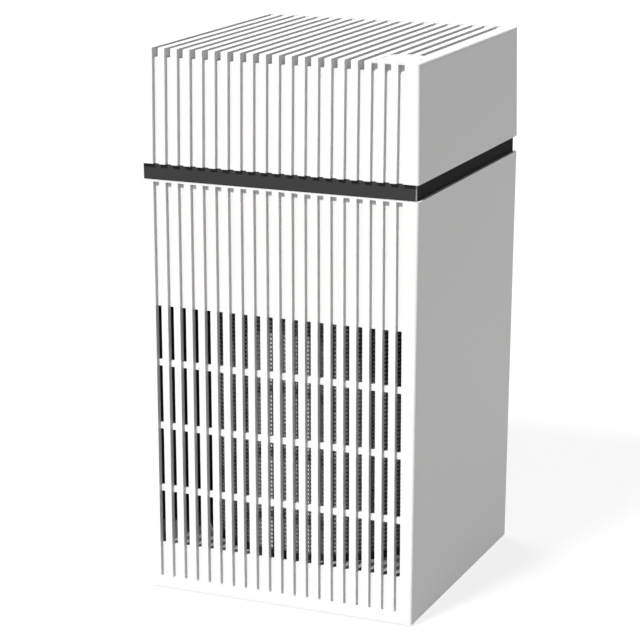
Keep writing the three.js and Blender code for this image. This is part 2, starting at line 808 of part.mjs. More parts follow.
const deckHalf = { x: 104.6, y: 101.8 };
const BELLMOUTH = { height: 8, wall: 2 };
const DECK_SCREW_RADIUS = 92.5;
const deckSpan = [DECK_BOTTOM, DECK_BOTTOM + DECK_THICKNESS];
const deckScrewHead = 1.9;
add(
  "fan_deck",
  cut(
    unite(
      block(deckHalf.x, deckHalf.y, deckSpan),
      turned([
        [EYE_RADIUS - 6, DECK_BOTTOM + 1],
        [EYE_RADIUS + 6, DECK_BOTTOM + 1],
        [EYE_RADIUS - 2, DECK_BOTTOM + BELLMOUTH.height],
        [EYE_RADIUS - 4, DECK_BOTTOM + BELLMOUTH.height],
      ]),
    ),
    turned([
      [0, DECK_BOTTOM - 1],
      [EYE_RADIUS + 4, DECK_BOTTOM - 1],
      [EYE_RADIUS - 4, DECK_BOTTOM + BELLMOUTH.height + 1],
      [0, DECK_BOTTOM + BELLMOUTH.height + 1],
    ]),
    bar(2.8, [DECK_BOTTOM - 1, DECK_BOTTOM + 5], { ...LEAD_CORNER, sides: TINY }),
    ...around(
      QUARTERS,
      unite(
        bar(SCREW.bore, [DECK_BOTTOM - 1, DECK_BOTTOM + 5], { x: DECK_SCREW_RADIUS, sides: TINY }),
        bar(SCREW.head + 0.4, [DECK_BOTTOM - 1, DECK_BOTTOM + deckScrewHead + 0.2], {
          x: DECK_SCREW_RADIUS,
          sides: TINY,
        }),
      ),
    ),
  ),
  CHARCOAL,
);

// The guard keeps fingers out of the fan when the filter is away.
const GUARD = { z: [226.5, 228.6], radius: 63, ringWidth: 2.4, hub: 12 };
const spoke = box([-GUARD.radius + 1, GUARD.radius - 1], [-1, 1], GUARD.z);
add(
  "inlet_guard",
  unite(
    ring(GUARD.radius - GUARD.ringWidth, GUARD.radius, GUARD.z, MEDIUM),
    bar(GUARD.hub, GUARD.z, { sides: SMALL }),
    ...around([0, 45, 90, 135], spoke),
  ),
  BLACK,
);

const DUCT = { bottom: DECK_BOTTOM + DECK_THICKNESS + FIT_GAP, top: BAND.bottom - FIT_GAP };
const ductOuter = DUCT_RADIUS + DUCT_WALL;
const MOUNT_LEDGE = MOUNT_Z - FIT_GAP;
const ductBoss = unite(
  bar(4.4, [DUCT.bottom, DUCT.bottom + 16], { x: DECK_SCREW_RADIUS, sides: TINY }),
  box([DUCT_RADIUS + 1, DECK_SCREW_RADIUS], [-2, 2], [DUCT.bottom, DUCT.bottom + 16]),
);
add(
  "fan_duct",
  cut(
    unite(
      turned([
        [DUCT_RADIUS, DUCT.bottom],
        [ductOuter, DUCT.bottom],
        [ductOuter, DUCT.top - 3],
        [FLANGE_RADIUS, DUCT.top - 3],
        [FLANGE_RADIUS, DUCT.top],
        [DUCT_RADIUS, DUCT.top],
        [DUCT_RADIUS, MOUNT_LEDGE],
        [DUCT_RADIUS - 3, MOUNT_LEDGE],
        [DUCT_RADIUS, MOUNT_LEDGE - 4],
      ]),
      ...around(QUARTERS, ductBoss),
    ),
    ...around(
      QUARTERS,
      unite(
        bar(SCREW.bore, [DUCT.bottom - 1, DUCT.bottom + 13], { x: DECK_SCREW_RADIUS, sides: TINY }),
        bar(SCREW.bore, [DUCT.top - 4, DUCT.top + 1], { x: DUCT_SCREW_RADIUS, sides: TINY }),
      ),
    ),
  ),
  CHARCOAL,
);

const impellerTop = IMPELLER_BOTTOM + IMPELLER_HEIGHT;
const HUB = { radius: 11, bottom: impellerTop - 14, bore: SHAFT_RADIUS + FIT_GAP };
const BLADE = { inner: 52, outer: IMPELLER_RADIUS - 0.5, thickness: 1.8, sweep: 42 };

// A backward-curved blade: its middle line turns by the sweep angle as it goes outwards.
function bladeOutline() {
  const steps = 3;
  const side = (offset) =>
    Array.from({ length: steps + 1 }, (_, i) => {
      const t = i / steps;
      const radius = mix(BLADE.inner, BLADE.outer, t);
      const angle = THREE.MathUtils.degToRad(-BLADE.sweep * t) + offset / radius;
      return new THREE.Vector2(radius * Math.cos(angle), radius * Math.sin(angle));
    });
  const half = BLADE.thickness * 0.65;
  return new THREE.Shape([...side(-half), ...side(half).reverse()]);
}

const blade = plate(bladeOutline(), [IMPELLER_BOTTOM + 1, impellerTop - 1]);
const bladeAngles = Array.from({ length: BLADES }, (_, i) => (i * 360) / BLADES);
add(
  "impeller",
  unite(
    ring(EYE_RADIUS - 1, IMPELLER_RADIUS, [IMPELLER_BOTTOM + 0.6, IMPELLER_BOTTOM + 2.6]),
    turned([
      [HUB.bore, HUB.bottom],
      [HUB.radius, HUB.bottom],
      [HUB.radius + 4, impellerTop - 4],
      [40, impellerTop - 2.5],
      [IMPELLER_RADIUS, impellerTop - 2.5],
      [IMPELLER_RADIUS, impellerTop],
      [HUB.bore, impellerTop],
    ]),
    ...around(bladeAngles, blade),
  ),
  CHARCOAL,
);
add("impeller_nut", ring(SHAFT_RADIUS + 0.9, 6, [HUB.bottom - 5.3, HUB.bottom - FIT_GAP], 6), STEEL);
const SHAFT_SPAN = [HUB.bottom - 9, MOTOR_BOTTOM + MOTOR_HEIGHT + 1];
add("motor_shaft", bar(SHAFT_RADIUS, SHAFT_SPAN, { sides: SMALL }), STEEL);

// The motor stands on a vaned mount that sits on the duct's ledge.
const VANES = 6;
const mountOuter = DUCT_RADIUS - FIT_GAP;
const vane = box([31, mountOuter - 1], [-1.2, 1.2], [MOUNT_Z, MOUNT_Z + 20]);
const vaneAngles = Array.from({ length: VANES }, (_, i) => (i * 360) / VANES + 12);
const MOTOR_SCREW_RADIUS = 25;
const THIRDS = [90, 210, 330];
add(
  "motor_mount",
  cut(
    unite(
      ring(9, 38, [MOUNT_Z, MOUNT_Z + 3], MEDIUM),
      ring(mountOuter - 2, mountOuter, [MOUNT_Z, MOUNT_Z + 20]),
      ...around(vaneAngles, vane),
    ),
    bar(MOTOR_RADIUS + 1.4, [MOUNT_Z + 3, MOUNT_Z + 25], { sides: MEDIUM }),
    ...around(THIRDS, bar(SCREW.bore, [MOUNT_Z - 1, MOUNT_Z + 4], { x: MOTOR_SCREW_RADIUS, sides: TINY })),
  ),
  CHARCOAL,
);

const motorTop = MOTOR_BOTTOM + MOTOR_HEIGHT;
const CAN_WALL = 1.6;
const BEARING = { bore: SHAFT_RADIUS + FIT_GAP, outer: 8, height: 5 };
const seat = BEARING.outer + FIT_GAP;
add(
  "motor_can",
  cut(
    turned(
      [
        [seat, MOTOR_BOTTOM],
        [MOTOR_RADIUS, MOTOR_BOTTOM],
        [MOTOR_RADIUS, motorTop - 3],
        [MOTOR_RADIUS - CAN_WALL, motorTop - 3],
        [MOTOR_RADIUS - CAN_WALL, MOTOR_BOTTOM + 2],
        [seat + 2, MOTOR_BOTTOM + 2],
        [seat + 2, MOTOR_BOTTOM + BEARING.height],
        [seat, MOTOR_BOTTOM + BEARING.height],
      ],
      MEDIUM,
    ),
    ...around(
      THIRDS,
      bar(1.6, [MOTOR_BOTTOM - 1, MOTOR_BOTTOM + 4], { x: MOTOR_SCREW_RADIUS, sides: TINY }),
    ),
  ),
  STEEL,
);
add(
  "motor_cap",
  cut(
    turned(
      [
        [seat, motorTop - BEARING.height - 0.5],
        [seat + 2, motorTop - BEARING.height - 0.5],
        [seat + 2, motorTop - 2.7],
        [MOTOR_RADIUS, motorTop - 2.7],
        [MOTOR_RADIUS, motorTop],
        [seat, motorTop],
      ],
      MEDIUM,
    ),
    bar(1.9, [motorTop - 4, motorTop + 1], { x: -22, y: 8, sides: TINY }),
  ),
  BLACK,
);
add("bearing_lower", ring(BEARING.bore, BEARING.outer, [MOTOR_BOTTOM, MOTOR_BOTTOM + 4.7], SMALL), STEEL);
add("bearing_upper", ring(BEARING.bore, BEARING.outer, [motorTop - 5.2, motorTop - 0.5], SMALL), STEEL);
const coreSpan = [MOTOR_BOTTOM + 6, motorTop - 6.5];
add("motor_stator", ring(19, MOTOR_RADIUS - CAN_WALL - FIT_GAP, coreSpan, MEDIUM), COPPER);
add("motor_rotor", ring(SHAFT_RADIUS + FIT_GAP, 18, coreSpan, MEDIUM), CHARCOAL);

// ---- Electronics and internal leads --------------------------------------------------------------------

const BOARD_AT = { distance: 106, half: 27, z: [236, 296], thickness: 1.6 };
const MAINS = {
  transformer: [
    [-12, 12],
    [BOARD_AT.distance + 1, BOARD_AT.distance + 14],
    [256, 276],
  ],
  heatSink: [
    [-20, -14],
    [BOARD_AT.distance + 1, BOARD_AT.distance + 10],
    [246, 286],
  ],
};

// The board stands across the rear left corner: built square to +Y, then turned by 45 degrees.
const mainBoard = unite(
  box(
    [-BOARD_AT.half, BOARD_AT.half],
    [BOARD_AT.distance, BOARD_AT.distance + BOARD_AT.thickness],
    BOARD_AT.z,
  ),
  box(...MAINS.transformer),
  box(...MAINS.heatSink),
  bar(4, [280, 292], { x: 12, y: BOARD_AT.distance + 5, sides: TINY }),
);
add("main_board", mainBoard.rotate([0, 0, 45]), BOARD);

const HOLDER = { top: 250, wall: 2 };
const holderSlot = [BOARD_AT.distance - FIT_GAP, BOARD_AT.distance + BOARD_AT.thickness + FIT_GAP];
const holder = unite(
  box([-30, 30], [holderSlot[0] - HOLDER.wall, holderSlot[1] + HOLDER.wall], [DUCT.bottom, 235.7]),
  ...[-1, 1].flatMap((side) => {
    const x = [side * 23, side * 30].sort((a, b) => a - b);
    return [
      box(x, [holderSlot[0] - HOLDER.wall, holderSlot[0]], [DUCT.bottom, HOLDER.top]),
      box(x, [holderSlot[1], holderSlot[1] + HOLDER.wall], [DUCT.bottom, HOLDER.top]),
    ];
  }),
);
add("board_holder", holder.rotate([0, 0, 45]), BLACK);

function lead(points, radius, steps) {
  const route = points.map((point) => new THREE.Vector3(...point));
  return swept(new THREE.CatmullRomCurve3(route, false, "centripetal"), radius, steps);
}

const LEAD_RADIUS = 1.9;
add(
  "supply_lead",
  lead(
    [
      [LEAD_CORNER.x, LEAD_CORNER.y, SOCKET.z + SOCKET.halfHeight + FIT_GAP],
      [LEAD_CORNER.x, LEAD_CORNER.y, 36],
      [LEAD_CORNER.x, LEAD_CORNER.y, 60],
      [LEAD_CORNER.x, LEAD_CORNER.y, 200],
      [LEAD_CORNER.x, LEAD_CORNER.y, 236],
      [-88, 91, 248],
      [-91, 84, 254],
    ],
    LEAD_RADIUS,
    24,
  ),
  RUBBER,
);
add(
  "motor_lead",
  lead(
    [
      [-75.8, 75.8, 296.6],
      [-77.5, 77.5, 308],
      [-78, 78, 320],
      [-76, 76, 334],
      [-62, 60, 338],
      [-36, 28, 328],
      [-23, 10, 320],
      [-22, 8, motorTop + 1],
    ],
    1.4,
    24,
  ),
  RUBBER,
);

// ---- Fasteners ------------------------------------------------------------------------------------------

// A pan-head screw that points up, its head's underside at z = 0.
function screw(length, headHeight) {
  return turned(
    [
      [0, -headHeight],
      [SCREW.head, -headHeight],
      [SCREW.head, 0],
      [SCREW.shank, 0],
      [SCREW.shank, length],
      [0, length],
    ],
    TINY,
  );
}

function addScrews(name, length, headHeight, places) {
  const body = screw(length, headHeight);
  places.forEach(([x, y, z], i) => {
    add(`${name}_${i + 1}`, body, STEEL).position.set(x, y, z);
  });
}

const headSeat = 3.2;
addScrews(
  "base_screw",
  36,
  SCREW.headHeight,
  CORNERS.map(([sx, sy]) => [sx * POST.x, sy * POST.y, BASE_BOTTOM + headSeat - FIT_GAP]),
);
addScrews(
  "cover_screw",
  22,
  SCREW.headHeight,
  CORNERS.map(([sx, sy]) => [
    sx * COVER_SCREW.x,
    sy * COVER_SCREW.y,
    BAND.bottom + headSeat - FIT_GAP,
  ]),
);

function onCircle(radius, angles, z) {
  return angles.map((angle) => {
    const turn = THREE.MathUtils.degToRad(angle);
    return [radius * Math.cos(turn), radius * Math.sin(turn), z];
  });
}

addScrews("duct_screw", 9.5, 2.4, onCircle(DUCT_SCREW_RADIUS, QUARTERS, DUCT.top - 3 - FIT_GAP));
addScrews(
  "deck_screw",
  13,
  1.6,
  onCircle(DECK_SCREW_RADIUS, QUARTERS, DECK_BOTTOM + deckScrewHead - 0.1),
);

export default purifier;
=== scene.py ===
import json
import math

import bmesh
import bpy
from mathutils import Matrix, Vector


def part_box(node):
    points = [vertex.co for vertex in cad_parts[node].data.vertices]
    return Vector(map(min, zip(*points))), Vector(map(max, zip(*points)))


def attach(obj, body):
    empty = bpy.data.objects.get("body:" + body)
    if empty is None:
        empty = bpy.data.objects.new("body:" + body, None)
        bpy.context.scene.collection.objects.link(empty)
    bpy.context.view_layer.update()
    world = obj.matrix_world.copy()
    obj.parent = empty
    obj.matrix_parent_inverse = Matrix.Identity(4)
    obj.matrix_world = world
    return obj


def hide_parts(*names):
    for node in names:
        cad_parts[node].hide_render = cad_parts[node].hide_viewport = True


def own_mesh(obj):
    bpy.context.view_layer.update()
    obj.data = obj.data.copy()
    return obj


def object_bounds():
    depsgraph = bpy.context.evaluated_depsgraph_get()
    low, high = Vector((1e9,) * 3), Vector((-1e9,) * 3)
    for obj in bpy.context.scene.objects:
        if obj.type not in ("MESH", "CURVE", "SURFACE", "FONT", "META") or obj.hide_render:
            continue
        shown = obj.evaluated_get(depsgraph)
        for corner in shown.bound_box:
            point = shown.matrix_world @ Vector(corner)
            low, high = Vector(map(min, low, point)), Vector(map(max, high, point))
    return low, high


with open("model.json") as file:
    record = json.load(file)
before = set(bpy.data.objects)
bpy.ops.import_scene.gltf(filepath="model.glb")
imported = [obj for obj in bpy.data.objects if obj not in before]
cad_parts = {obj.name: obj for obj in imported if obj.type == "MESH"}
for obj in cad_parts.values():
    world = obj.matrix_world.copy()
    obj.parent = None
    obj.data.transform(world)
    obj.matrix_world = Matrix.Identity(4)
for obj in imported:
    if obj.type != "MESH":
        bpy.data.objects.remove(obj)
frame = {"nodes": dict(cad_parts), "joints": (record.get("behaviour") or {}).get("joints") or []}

bl_info = {
    "name": "Tower Air Purifier",
    "version": (1, 0, 0),
    "blender": (4, 5, 0),
    "location": "View3D > Sidebar > Purifier",
    "description": "Builds a grooved tower air purifier round its packed frame",
    "category": "Object",
}

# ---- Frame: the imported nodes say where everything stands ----

MM = 0.001
TOUCH = 0.02 * MM
CAD_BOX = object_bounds()


def middle(node):
    """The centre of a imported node's box."""
    low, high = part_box(node)
    return (low + high) / 2


GRILLE_LOW, GRILLE_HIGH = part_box("front_grille")
COVER_LOW, COVER_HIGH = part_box("top_cover")
BUTTON_LOW, BUTTON_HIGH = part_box("power_button")
BUTTON_CENTRE = middle("power_button")
BUTTON_AXIS = (BUTTON_CENTRE.x, BUTTON_CENTRE.y, 0)
SOCKET_LOW, SOCKET_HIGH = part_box("power_socket")
SOCKET_CENTRE = middle("power_socket")
BASE_LOW, BASE_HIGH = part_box("base_frame")
DOOR_LOW, DOOR_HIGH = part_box("filter_door")
SCREWS = {
    kind: [f"{kind}_screw_{i}" for i in (1, 2, 3, 4)] for kind in ("base", "cover", "duct", "deck")
}
SCREW_BORE = 2.2 * MM
SOCKET_FLANGE = 3.4 * MM
FACING_REAR = (-math.pi / 2, "X")


class Section:
    """A drafted section of the case, whose half widths change evenly from its foot to its top."""

    def __init__(self, low, high, foot, top):
        self.low = low
        self.high = high
        self.foot = Vector(foot)
        self.top = Vector(top)

    def half(self, z):
        return self.foot.lerp(self.top, (z - self.low) / (self.high - self.low))


WIDEST = Vector((COVER_HIGH.x, COVER_HIGH.y))
LOWER = Section(GRILLE_LOW.z, GRILLE_HIGH.z, WIDEST - Vector((2.6, 1.4)) * MM, WIDEST)
UPPER = Section(COVER_LOW.z, COVER_HIGH.z, WIDEST, WIDEST - Vector((1.1, 1.6)) * MM)


# ---- Settings shown in the sidebar ----

def number(name, description, value, **options):
    return bpy.props.FloatProperty(name=name, description=description, default=value, **options)


def length(name, description, millimetres):
    return number(name, description, millimetres * MM, subtype="DISTANCE", unit="LENGTH")


def bearing(name, description, degrees):
    return number(name, description, math.radians(degrees), subtype="ANGLE", unit="ROTATION")


def count(name, description, value):
    return bpy.props.IntProperty(name=name, description=description, default=value)


def colour(name, description, rgb):
    return bpy.props.FloatVectorProperty(
        name=name, description=description, default=rgb, size=3, subtype="COLOR", min=0, max=1
    )


class CaseSizes(bpy.types.PropertyGroup):
    """Sizes of the case's walls, grooves and slots."""

    grooves: count("Grooves", "Grooves across the front", 20)
    pitch: length("Groove pitch", "From one groove to the next", 10)
    groove_width: length("Groove width", "Width of a groove and of its slots", 4.7)
    groove_depth: length("Groove depth", "Depth of a groove below the skin", 2.8)
    groove_foot: length("Groove foot", "Height of a groove's rounded lower end", 9.2)
    groove_rim: length("Groove rim", "Skin left above the lower case's grooves", 1)
    front_wall: length("Front wall", "Thickness of the front and the rear", 4.8)
    side_wall: length("Side wall", "Thickness of the sides", 3)
    corner: length("Corner radius", "Radius of the case's upright corners", 2)
    edge: length("Edge radius", "Radius of the fine moulded edges", 0.2)
    slot_corner: length("Slot corner", "Radius in the corners of an inlet slot", 0.9)
    inlet_centre: length("Inlet centre", "Height of the middle of the inlet", 129.2)
    inlet_reach: length("Inlet reach", "From the inlet's middle to its top and its bottom", 92.85)
    bar_pitch: length("Cross bar pitch", "From one cross bar to the next", 49.15)
    bar_height: length("Cross bar height", "Height of a cross bar between two rows of slots", 4.8)
    notch: length("Notch depth", "Depth of an outlet slot at the front edge", 7)
    rib: length("Rib depth", "Depth of the outlet's ribs", 12)
    covered: count("Covered grooves", "Grooves that end below the button's plate", 3)
    seam: length("Seam", "Distance of the side seams from the middle", 100.6)
    seam_gap: length("Seam gap", "Width of a closed seam", 0.06)


class ControlSizes(bpy.types.PropertyGroup):
    """Sizes of the button and of the plate that it stands in."""

    plate: length("Plate radius", "Radius of the plate round the button", 18.5)
    plate_depth: length("Plate depth", "Thickness of the plate", 1.6)
    bore: length("Bore radius", "Radius of the hole for the button and its ring", 15)
    cup: length("Cup radius", "Radius of the space for the cup under the plate", 17.5)
    crown: length("Crown", "Depth of the button's dished top", 0.15)
    wire: length("Spring wire", "Diameter of the return spring's wire", 0.7)
    turns: count("Spring turns", "Turns of the return spring", 5)


class FilterSizes(bpy.types.PropertyGroup):
    """Sizes of the filter's net and pleats."""

    strand: length("Strand width", "Width of a strand of the net", 1.35)
    strand_depth: length("Strand depth", "Thickness of a strand of the net", 0.22)
    mesh_x: length("Mesh across", "Distance between upright strands", 2.9)
    mesh_z: length("Mesh up", "Distance between level strands", 3.2)
    pleats: count("Pleats", "Pleats round the filter", 90)
    pleat_depth: length("Pleat depth", "Depth of a pleat", 1.2)


class Colours(bpy.types.PropertyGroup):
    """Colours of the plastics and of the floor."""

    shell: colour("Shell", "Colour of the white case", (0.57, 0.562, 0.558))
    # Painted shade: this near-black colour on the white case's inner faces stands in for the shade inside
    # the case.
    inside: colour("Inside", "Colour of the case's dark inner faces", (0.012, 0.012, 0.013))
    base: colour("Base", "Colour of the base", (0.30, 0.30, 0.295))
    band: colour("Band", "Colour of the waist band", (0.031, 0.031, 0.032))
    fan: colour("Fan", "Colour of the fan's parts", (0.02, 0.021, 0.022))
    net: colour("Net", "Colour of the filter's net", (0.085, 0.086, 0.092))
    paper: colour("Paper", "Colour of the filter's pleats", (0.93, 0.93, 0.92))
    floor: colour("Floor", "Colour of the studio floor", (0.10, 0.10, 0.10))
    floor_glow: number("Floor glow", "Light that the floor gives by itself", 0.84)


class StageSizes(bpy.types.PropertyGroup):
    """Where the camera stands and how strong the lights are."""

    azimuth: bearing("Azimuth", "Camera's turn to the right of the front", 23.0986)
    elevation: bearing("Elevation", "Camera's height angle", 14.7081)
    distance: length("Distance", "From the camera to the point that it looks at", 1763.4)
    aim_y: length("Aim Y", "Depth of the point that the camera looks at", -26.3)
    aim_z: length("Aim Z", "Height of the point that the camera looks at", 201.85)
    lens: number("Lens", "Focal length", 131.17, subtype="DISTANCE_CAMERA")
    key: number("Key", "Strength of the main light", 6.1)
    rim: number("Rim", "Strength of the light from behind", 3.0)
    fill: number("Fill", "Strength of the surroundings", 0.22)


# ---- Shapes ----

def verts_of(geom):
    return [g for g in geom if isinstance(g, bmesh.types.BMVert)]


def edges_of(geom):
    return [g for g in geom if isinstance(g, bmesh.types.BMEdge)]


def faces_of(geom):
    return [g for g in geom if isinstance(g, bmesh.types.BMFace)]


def mesh_of(name, bm):
    """A new mesh with the bmesh's shape. The bmesh is freed."""
    mesh = bpy.data.meshes.new(name)
    bm.to_mesh(mesh)
    bm.free()
    return mesh


def linked(name, data):
    """A new object in the scene."""
    made = bpy.data.objects.new(name, data)
    bpy.context.scene.collection.objects.link(made)
    return made


def bevel(bm, geom, width, segments, affect="EDGES"):
    bmesh.ops.bevel(
        bm, geom=geom, offset=width, offset_type="OFFSET", segments=segments, profile=0.5,
        affect=affect, clamp_overlap=True, material=-1,
    )


def raised(bm, height):
    """Makes an upright solid of a flat plan."""
    top = bmesh.ops.extrude_face_region(bm, geom=list(bm.faces))["geom"]
    bmesh.ops.translate(bm, vec=(0, 0, height), verts=verts_of(top))
    tidy(bm)
    return bm


def sweep(bm, stations, capped=True):
    """Carries a closed loop through stations of as many points each, and closes its two ends."""
    order = bm.verts.layers.int.get("order") or bm.verts.layers.int.new("order")
    verts = [bm.verts.new(point) for point in stations[0]]
    for i, vert in enumerate(verts):
        vert[order] = i
    edges = [bm.edges.new(pair) for pair in zip(verts, verts[1:] + verts[:1])]
    ends = [edges]
    for points in stations[1:]:
        made = bmesh.ops.extrude_edge_only(bm, edges=edges)["geom"]
        fresh = set(verts_of(made))
        for vert in fresh:
            vert.co = points[vert[order]]
        edges = [e for e in edges_of(made) if set(e.verts) <= fresh]
    ends.append(edges)
    if capped:
        for end in ends:
            bmesh.ops.contextual_create(bm, geom=end)
    return order


def pushed(bm, faces):
    """Extrudes a region of faces and drops the old ones: gives the new faces and their points."""
    made = bmesh.ops.extrude_face_region(bm, geom=faces)["geom"]
    bmesh.ops.delete(bm, geom=faces, context="FACES")
    return faces_of(made), verts_of(made)


def tidy(bm):
    """Merges doubles, removes faces with no area, turns all faces out and insists on a closed surface."""
    bmesh.ops.remove_doubles(bm, verts=bm.verts, dist=TOUCH / 4)
    bmesh.ops.dissolve_degenerate(bm, dist=TOUCH / 4, edges=bm.edges)
    bmesh.ops.recalc_face_normals(bm, faces=bm.faces)
    loose = [e for e in bm.edges if not e.is_manifold]
    if loose:
        where = [tuple(round(c / MM, 2) for c in e.verts[0].co) for e in loose[:4]]
        raise RuntimeError(f"the surface is open at {len(loose)} edges, first at {where} mm")


def soften(bm, width, segments=2, chosen=None, least=math.radians(35)):
    """Rounds the chosen sharp edges by bevelling them."""
    sharp = [
        e for e in bm.edges
        if e.is_manifold and e.calc_face_angle(0) > least and (chosen is None or chosen(e))
    ]
    bevel(bm, sharp, width, segments)


def above(z):
    """Chooses the edges whose two ends lie at a height or above it."""
    return lambda edge: min(v.co.z for v in edge.verts) > z - TOUCH


def spun(profile, steps=96):
    """A piece turned about the Z axis from the closed profile of its (radius, height) points."""
    bm = bmesh.new()
    verts = [bm.verts.new((r, 0, z)) for r, z in profile]
    edges = [bm.edges.new(pair) for pair in zip(verts, verts[1:] + verts[:1])]
    on_axis = [e for e in edges if all(v.co.x < TOUCH for v in e.verts)]
    bmesh.ops.delete(bm, geom=on_axis, context="EDGES_FACES")
    bmesh.ops.spin(
        bm, geom=list(bm.verts) + list(bm.edges), cent=(0, 0, 0), axis=(0, 0, 1),
        angle=2 * math.pi, steps=steps, use_merge=True, use_duplicate=False,
    )
    tidy(bm)
    return bm


def tube(inner, outer, low, high, steps=96):
    """A ring with flat ends, or a disc where its inner radius is 0."""
    return spun([(inner, low), (outer, low), (outer, high), (inner, high)], steps)


def screw_boss(radius, low, high, floor):
    """A boss with a blind bore for a screw, up to the bore's floor."""
    return spun(
        [(SCREW_BORE, low), (radius, low), (radius, high), (0, high), (0, floor), (SCREW_BORE, floor)], 32
    )


def plate(half_x, half_y, low, high, radius, steps=6):
    """An upright block with rounded corners."""
    bm = bmesh.new()
    bmesh.ops.create_grid(bm, x_segments=1, y_segments=1, size=1)
    bmesh.ops.scale(bm, vec=(half_x, half_y, 1), verts=bm.verts)
    bevel(bm, list(bm.verts), radius, steps, "VERTICES")
    bmesh.ops.translate(bm, vec=(0, 0, low), verts=bm.verts)
    return raised(bm, high - low)


def moved(bm, place=(0, 0, 0), turn=None):
    if turn:
        angle, axis = turn
        bmesh.ops.rotate(bm, cent=(0, 0, 0), matrix=Matrix.Rotation(angle, 3, axis), verts=bm.verts)
    bmesh.ops.translate(bm, vec=place, verts=bm.verts)
    return bm


def gathered(parts):
    """One bmesh that holds the shells of several."""
    whole = bmesh.new()
    for part in parts:
        mesh = mesh_of("part", part)
        whole.from_mesh(mesh)
        bpy.data.meshes.remove(mesh)
    return whole


def carved(body, tool, operation="DIFFERENCE"):
    """The body with the tool cut away, or joined to it."""
    holders = [linked(name, mesh_of(name, part)) for name, part in (("body", body), ("tool", tool))]
    work = holders[0].modifiers.new("carve", "BOOLEAN")
    work.object = holders[1]
    work.operation = operation
    work.solver = "EXACT"
    whole = bmesh.new()
    whole.from_object(holders[0], bpy.context.evaluated_depsgraph_get())
    for holder in holders:
        mesh = holder.data
        bpy.data.objects.remove(holder)
        bpy.data.meshes.remove(mesh)
    tidy(whole)
    return whole


def place_piece(context, bm, name, finishes, body, slot, *stands_for):
    """Makes the finished bmesh a piece that rides on a body, with one or two finishes. The slot argument is
    not used.
    """
    mesh = mesh_of(name, bm)
    for finish in finishes:
        mesh.materials.append(finish_of(context, finish))
    mesh.shade_smooth()
    mesh.set_sharp_from_angle(angle=math.radians(38))
    piece = linked(name, mesh)
    normals = piece.modifiers.new("Weighted Normals", "WEIGHTED_NORMAL")
    normals.keep_sharp = True
    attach(piece, body)
    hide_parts(*stands_for)
    return piece


# ---- Materials ----

class Value:
    """A number that varies over a surface: plain arithmetic on it adds the Math nodes."""

    def __init__(self, finish, socket):
        self.finish = finish
        self.socket = socket

    def math(self, operation, *values):
        return self.finish.node("ShaderNodeMath", {"operation": operation}, dict(enumerate(values)))

    def __add__(self, other):
        return self.math("ADD", self, other)

    def __sub__(self, other):
        return self.math("SUBTRACT", self, other)

    def __rsub__(self, other):
        return self.math("SUBTRACT", other, self)

    def __mul__(self, other):
        return self.math("MULTIPLY", self, other)


class Finish:
    """A material under construction."""

    def __init__(self, name, **constants):
        self.material = bpy.data.materials.new(name)
        self.material.use_nodes = True
        self.tree = self.material.node_tree
        self.surface = self.tree.nodes["Principled BSDF"]
        self.feed(self.surface, constants)
        self.place = self.node("ShaderNodeTexCoord", output="Object")

    def feed(self, node, sockets):
        for key, value in sockets.items():
            target = node.inputs[key.replace("_", " ") if isinstance(key, str) else key]
            if isinstance(value, Value):
                self.tree.links.new(value.socket, target)
            else:
                target.default_value = value

    def node(self, kind, settings=None, sockets=None, output=0):
        made = self.tree.nodes.new(kind)
        for key, value in (settings or {}).items():
            setattr(made, key, value)
        self.feed(made, sockets or {})
        return Value(self, made.outputs[output])

    def noise(self, scale, detail=3, place=None):
        sockets = {"Vector": place or self.place, "Scale": scale, "Detail": detail}
        return self.node("ShaderNodeTexNoise", None, sockets)

    def cells(self, feature, scale):
        sockets = {"Vector": self.place, "Scale": scale}
        return self.node("ShaderNodeTexVoronoi", {"feature": feature}, sockets)

    def stretched(self, scale):
        return self.node("ShaderNodeMapping", None, {"Vector": self.place, "Scale": scale})

    def wear(self, shade, tones, roughness, relief=None, depth=0):
        """Feeds a colour between two tones, a roughness and a relief that is some millimetres deep."""
        sockets = {"Factor": shade, 6: (*tones[0], 1), 7: (*tones[1], 1)}
        colour = self.node("ShaderNodeMix", {"data_type": "RGBA"}, sockets, output=2)
        self.feed(self.surface, {"Base_Color": colour, "Roughness": roughness})
        if relief:
            sockets = {"Height": relief, "Distance": depth * MM, "Strength": 1.0}
            self.feed(self.surface, {"Normal": self.node("ShaderNodeBump", None, sockets)})
        return self.material


def shaded(rgb, factor):
    return tuple(min(1, c * factor) for c in rgb)


def tones(rgb, low, high):
    """A darker and a lighter tone of one colour."""
    return shaded(rgb, low), shaded(rgb, high)


def moulded(name, rgb, roughness, grain=0.02, grain_scale=1800, gloss=0.3):
    """Moulded plastic: a fine spark-eroded grain, faint flow marks and a slightly uneven gloss."""
    finish = Finish(name, IOR=1.5, Specular_IOR_Level=gloss)
    flow = finish.noise(9, 4)
    grit = finish.noise(grain_scale, 2)
    uneven = (flow - 0.5) * 0.08 + (grit - 0.5) * 0.06 + roughness
    return finish.wear(flow, tones(rgb, 0.985, 1.015), uneven, grit, grain)


def rubber(name):
    """Black rubber with a dull, dusty grain."""
    finish = Finish(name, IOR=1.52)
    dust = finish.noise(120, 5)
    blacks = ((0.012, 0.012, 0.012), (0.03, 0.03, 0.029))
    return finish.wear(dust, blacks, dust * 0.12 + 0.78, finish.noise(2600, 2), 0.04)


def turned_metal(name, rgb):
    """Turned metal, with fine lines across its axis."""
    finish = Finish(name, Metallic=1.0)
    lines = finish.noise(400, 3, finish.stretched((1, 1, 14)))
    return finish.wear(finish.noise(60, 3), tones(rgb, 0.9, 1.05), lines * 0.2 + 0.28, lines, 0.01)


def foam(name):
    """Open-cell foam."""
    finish = Finish(name, IOR=1.4)
    cells = finish.cells("F1", 900)
    greys = ((0.012, 0.012, 0.012), (0.07, 0.07, 0.072))
    return finish.wear(cells, greys, cells * 0.1 + 0.88, cells, 0.25)


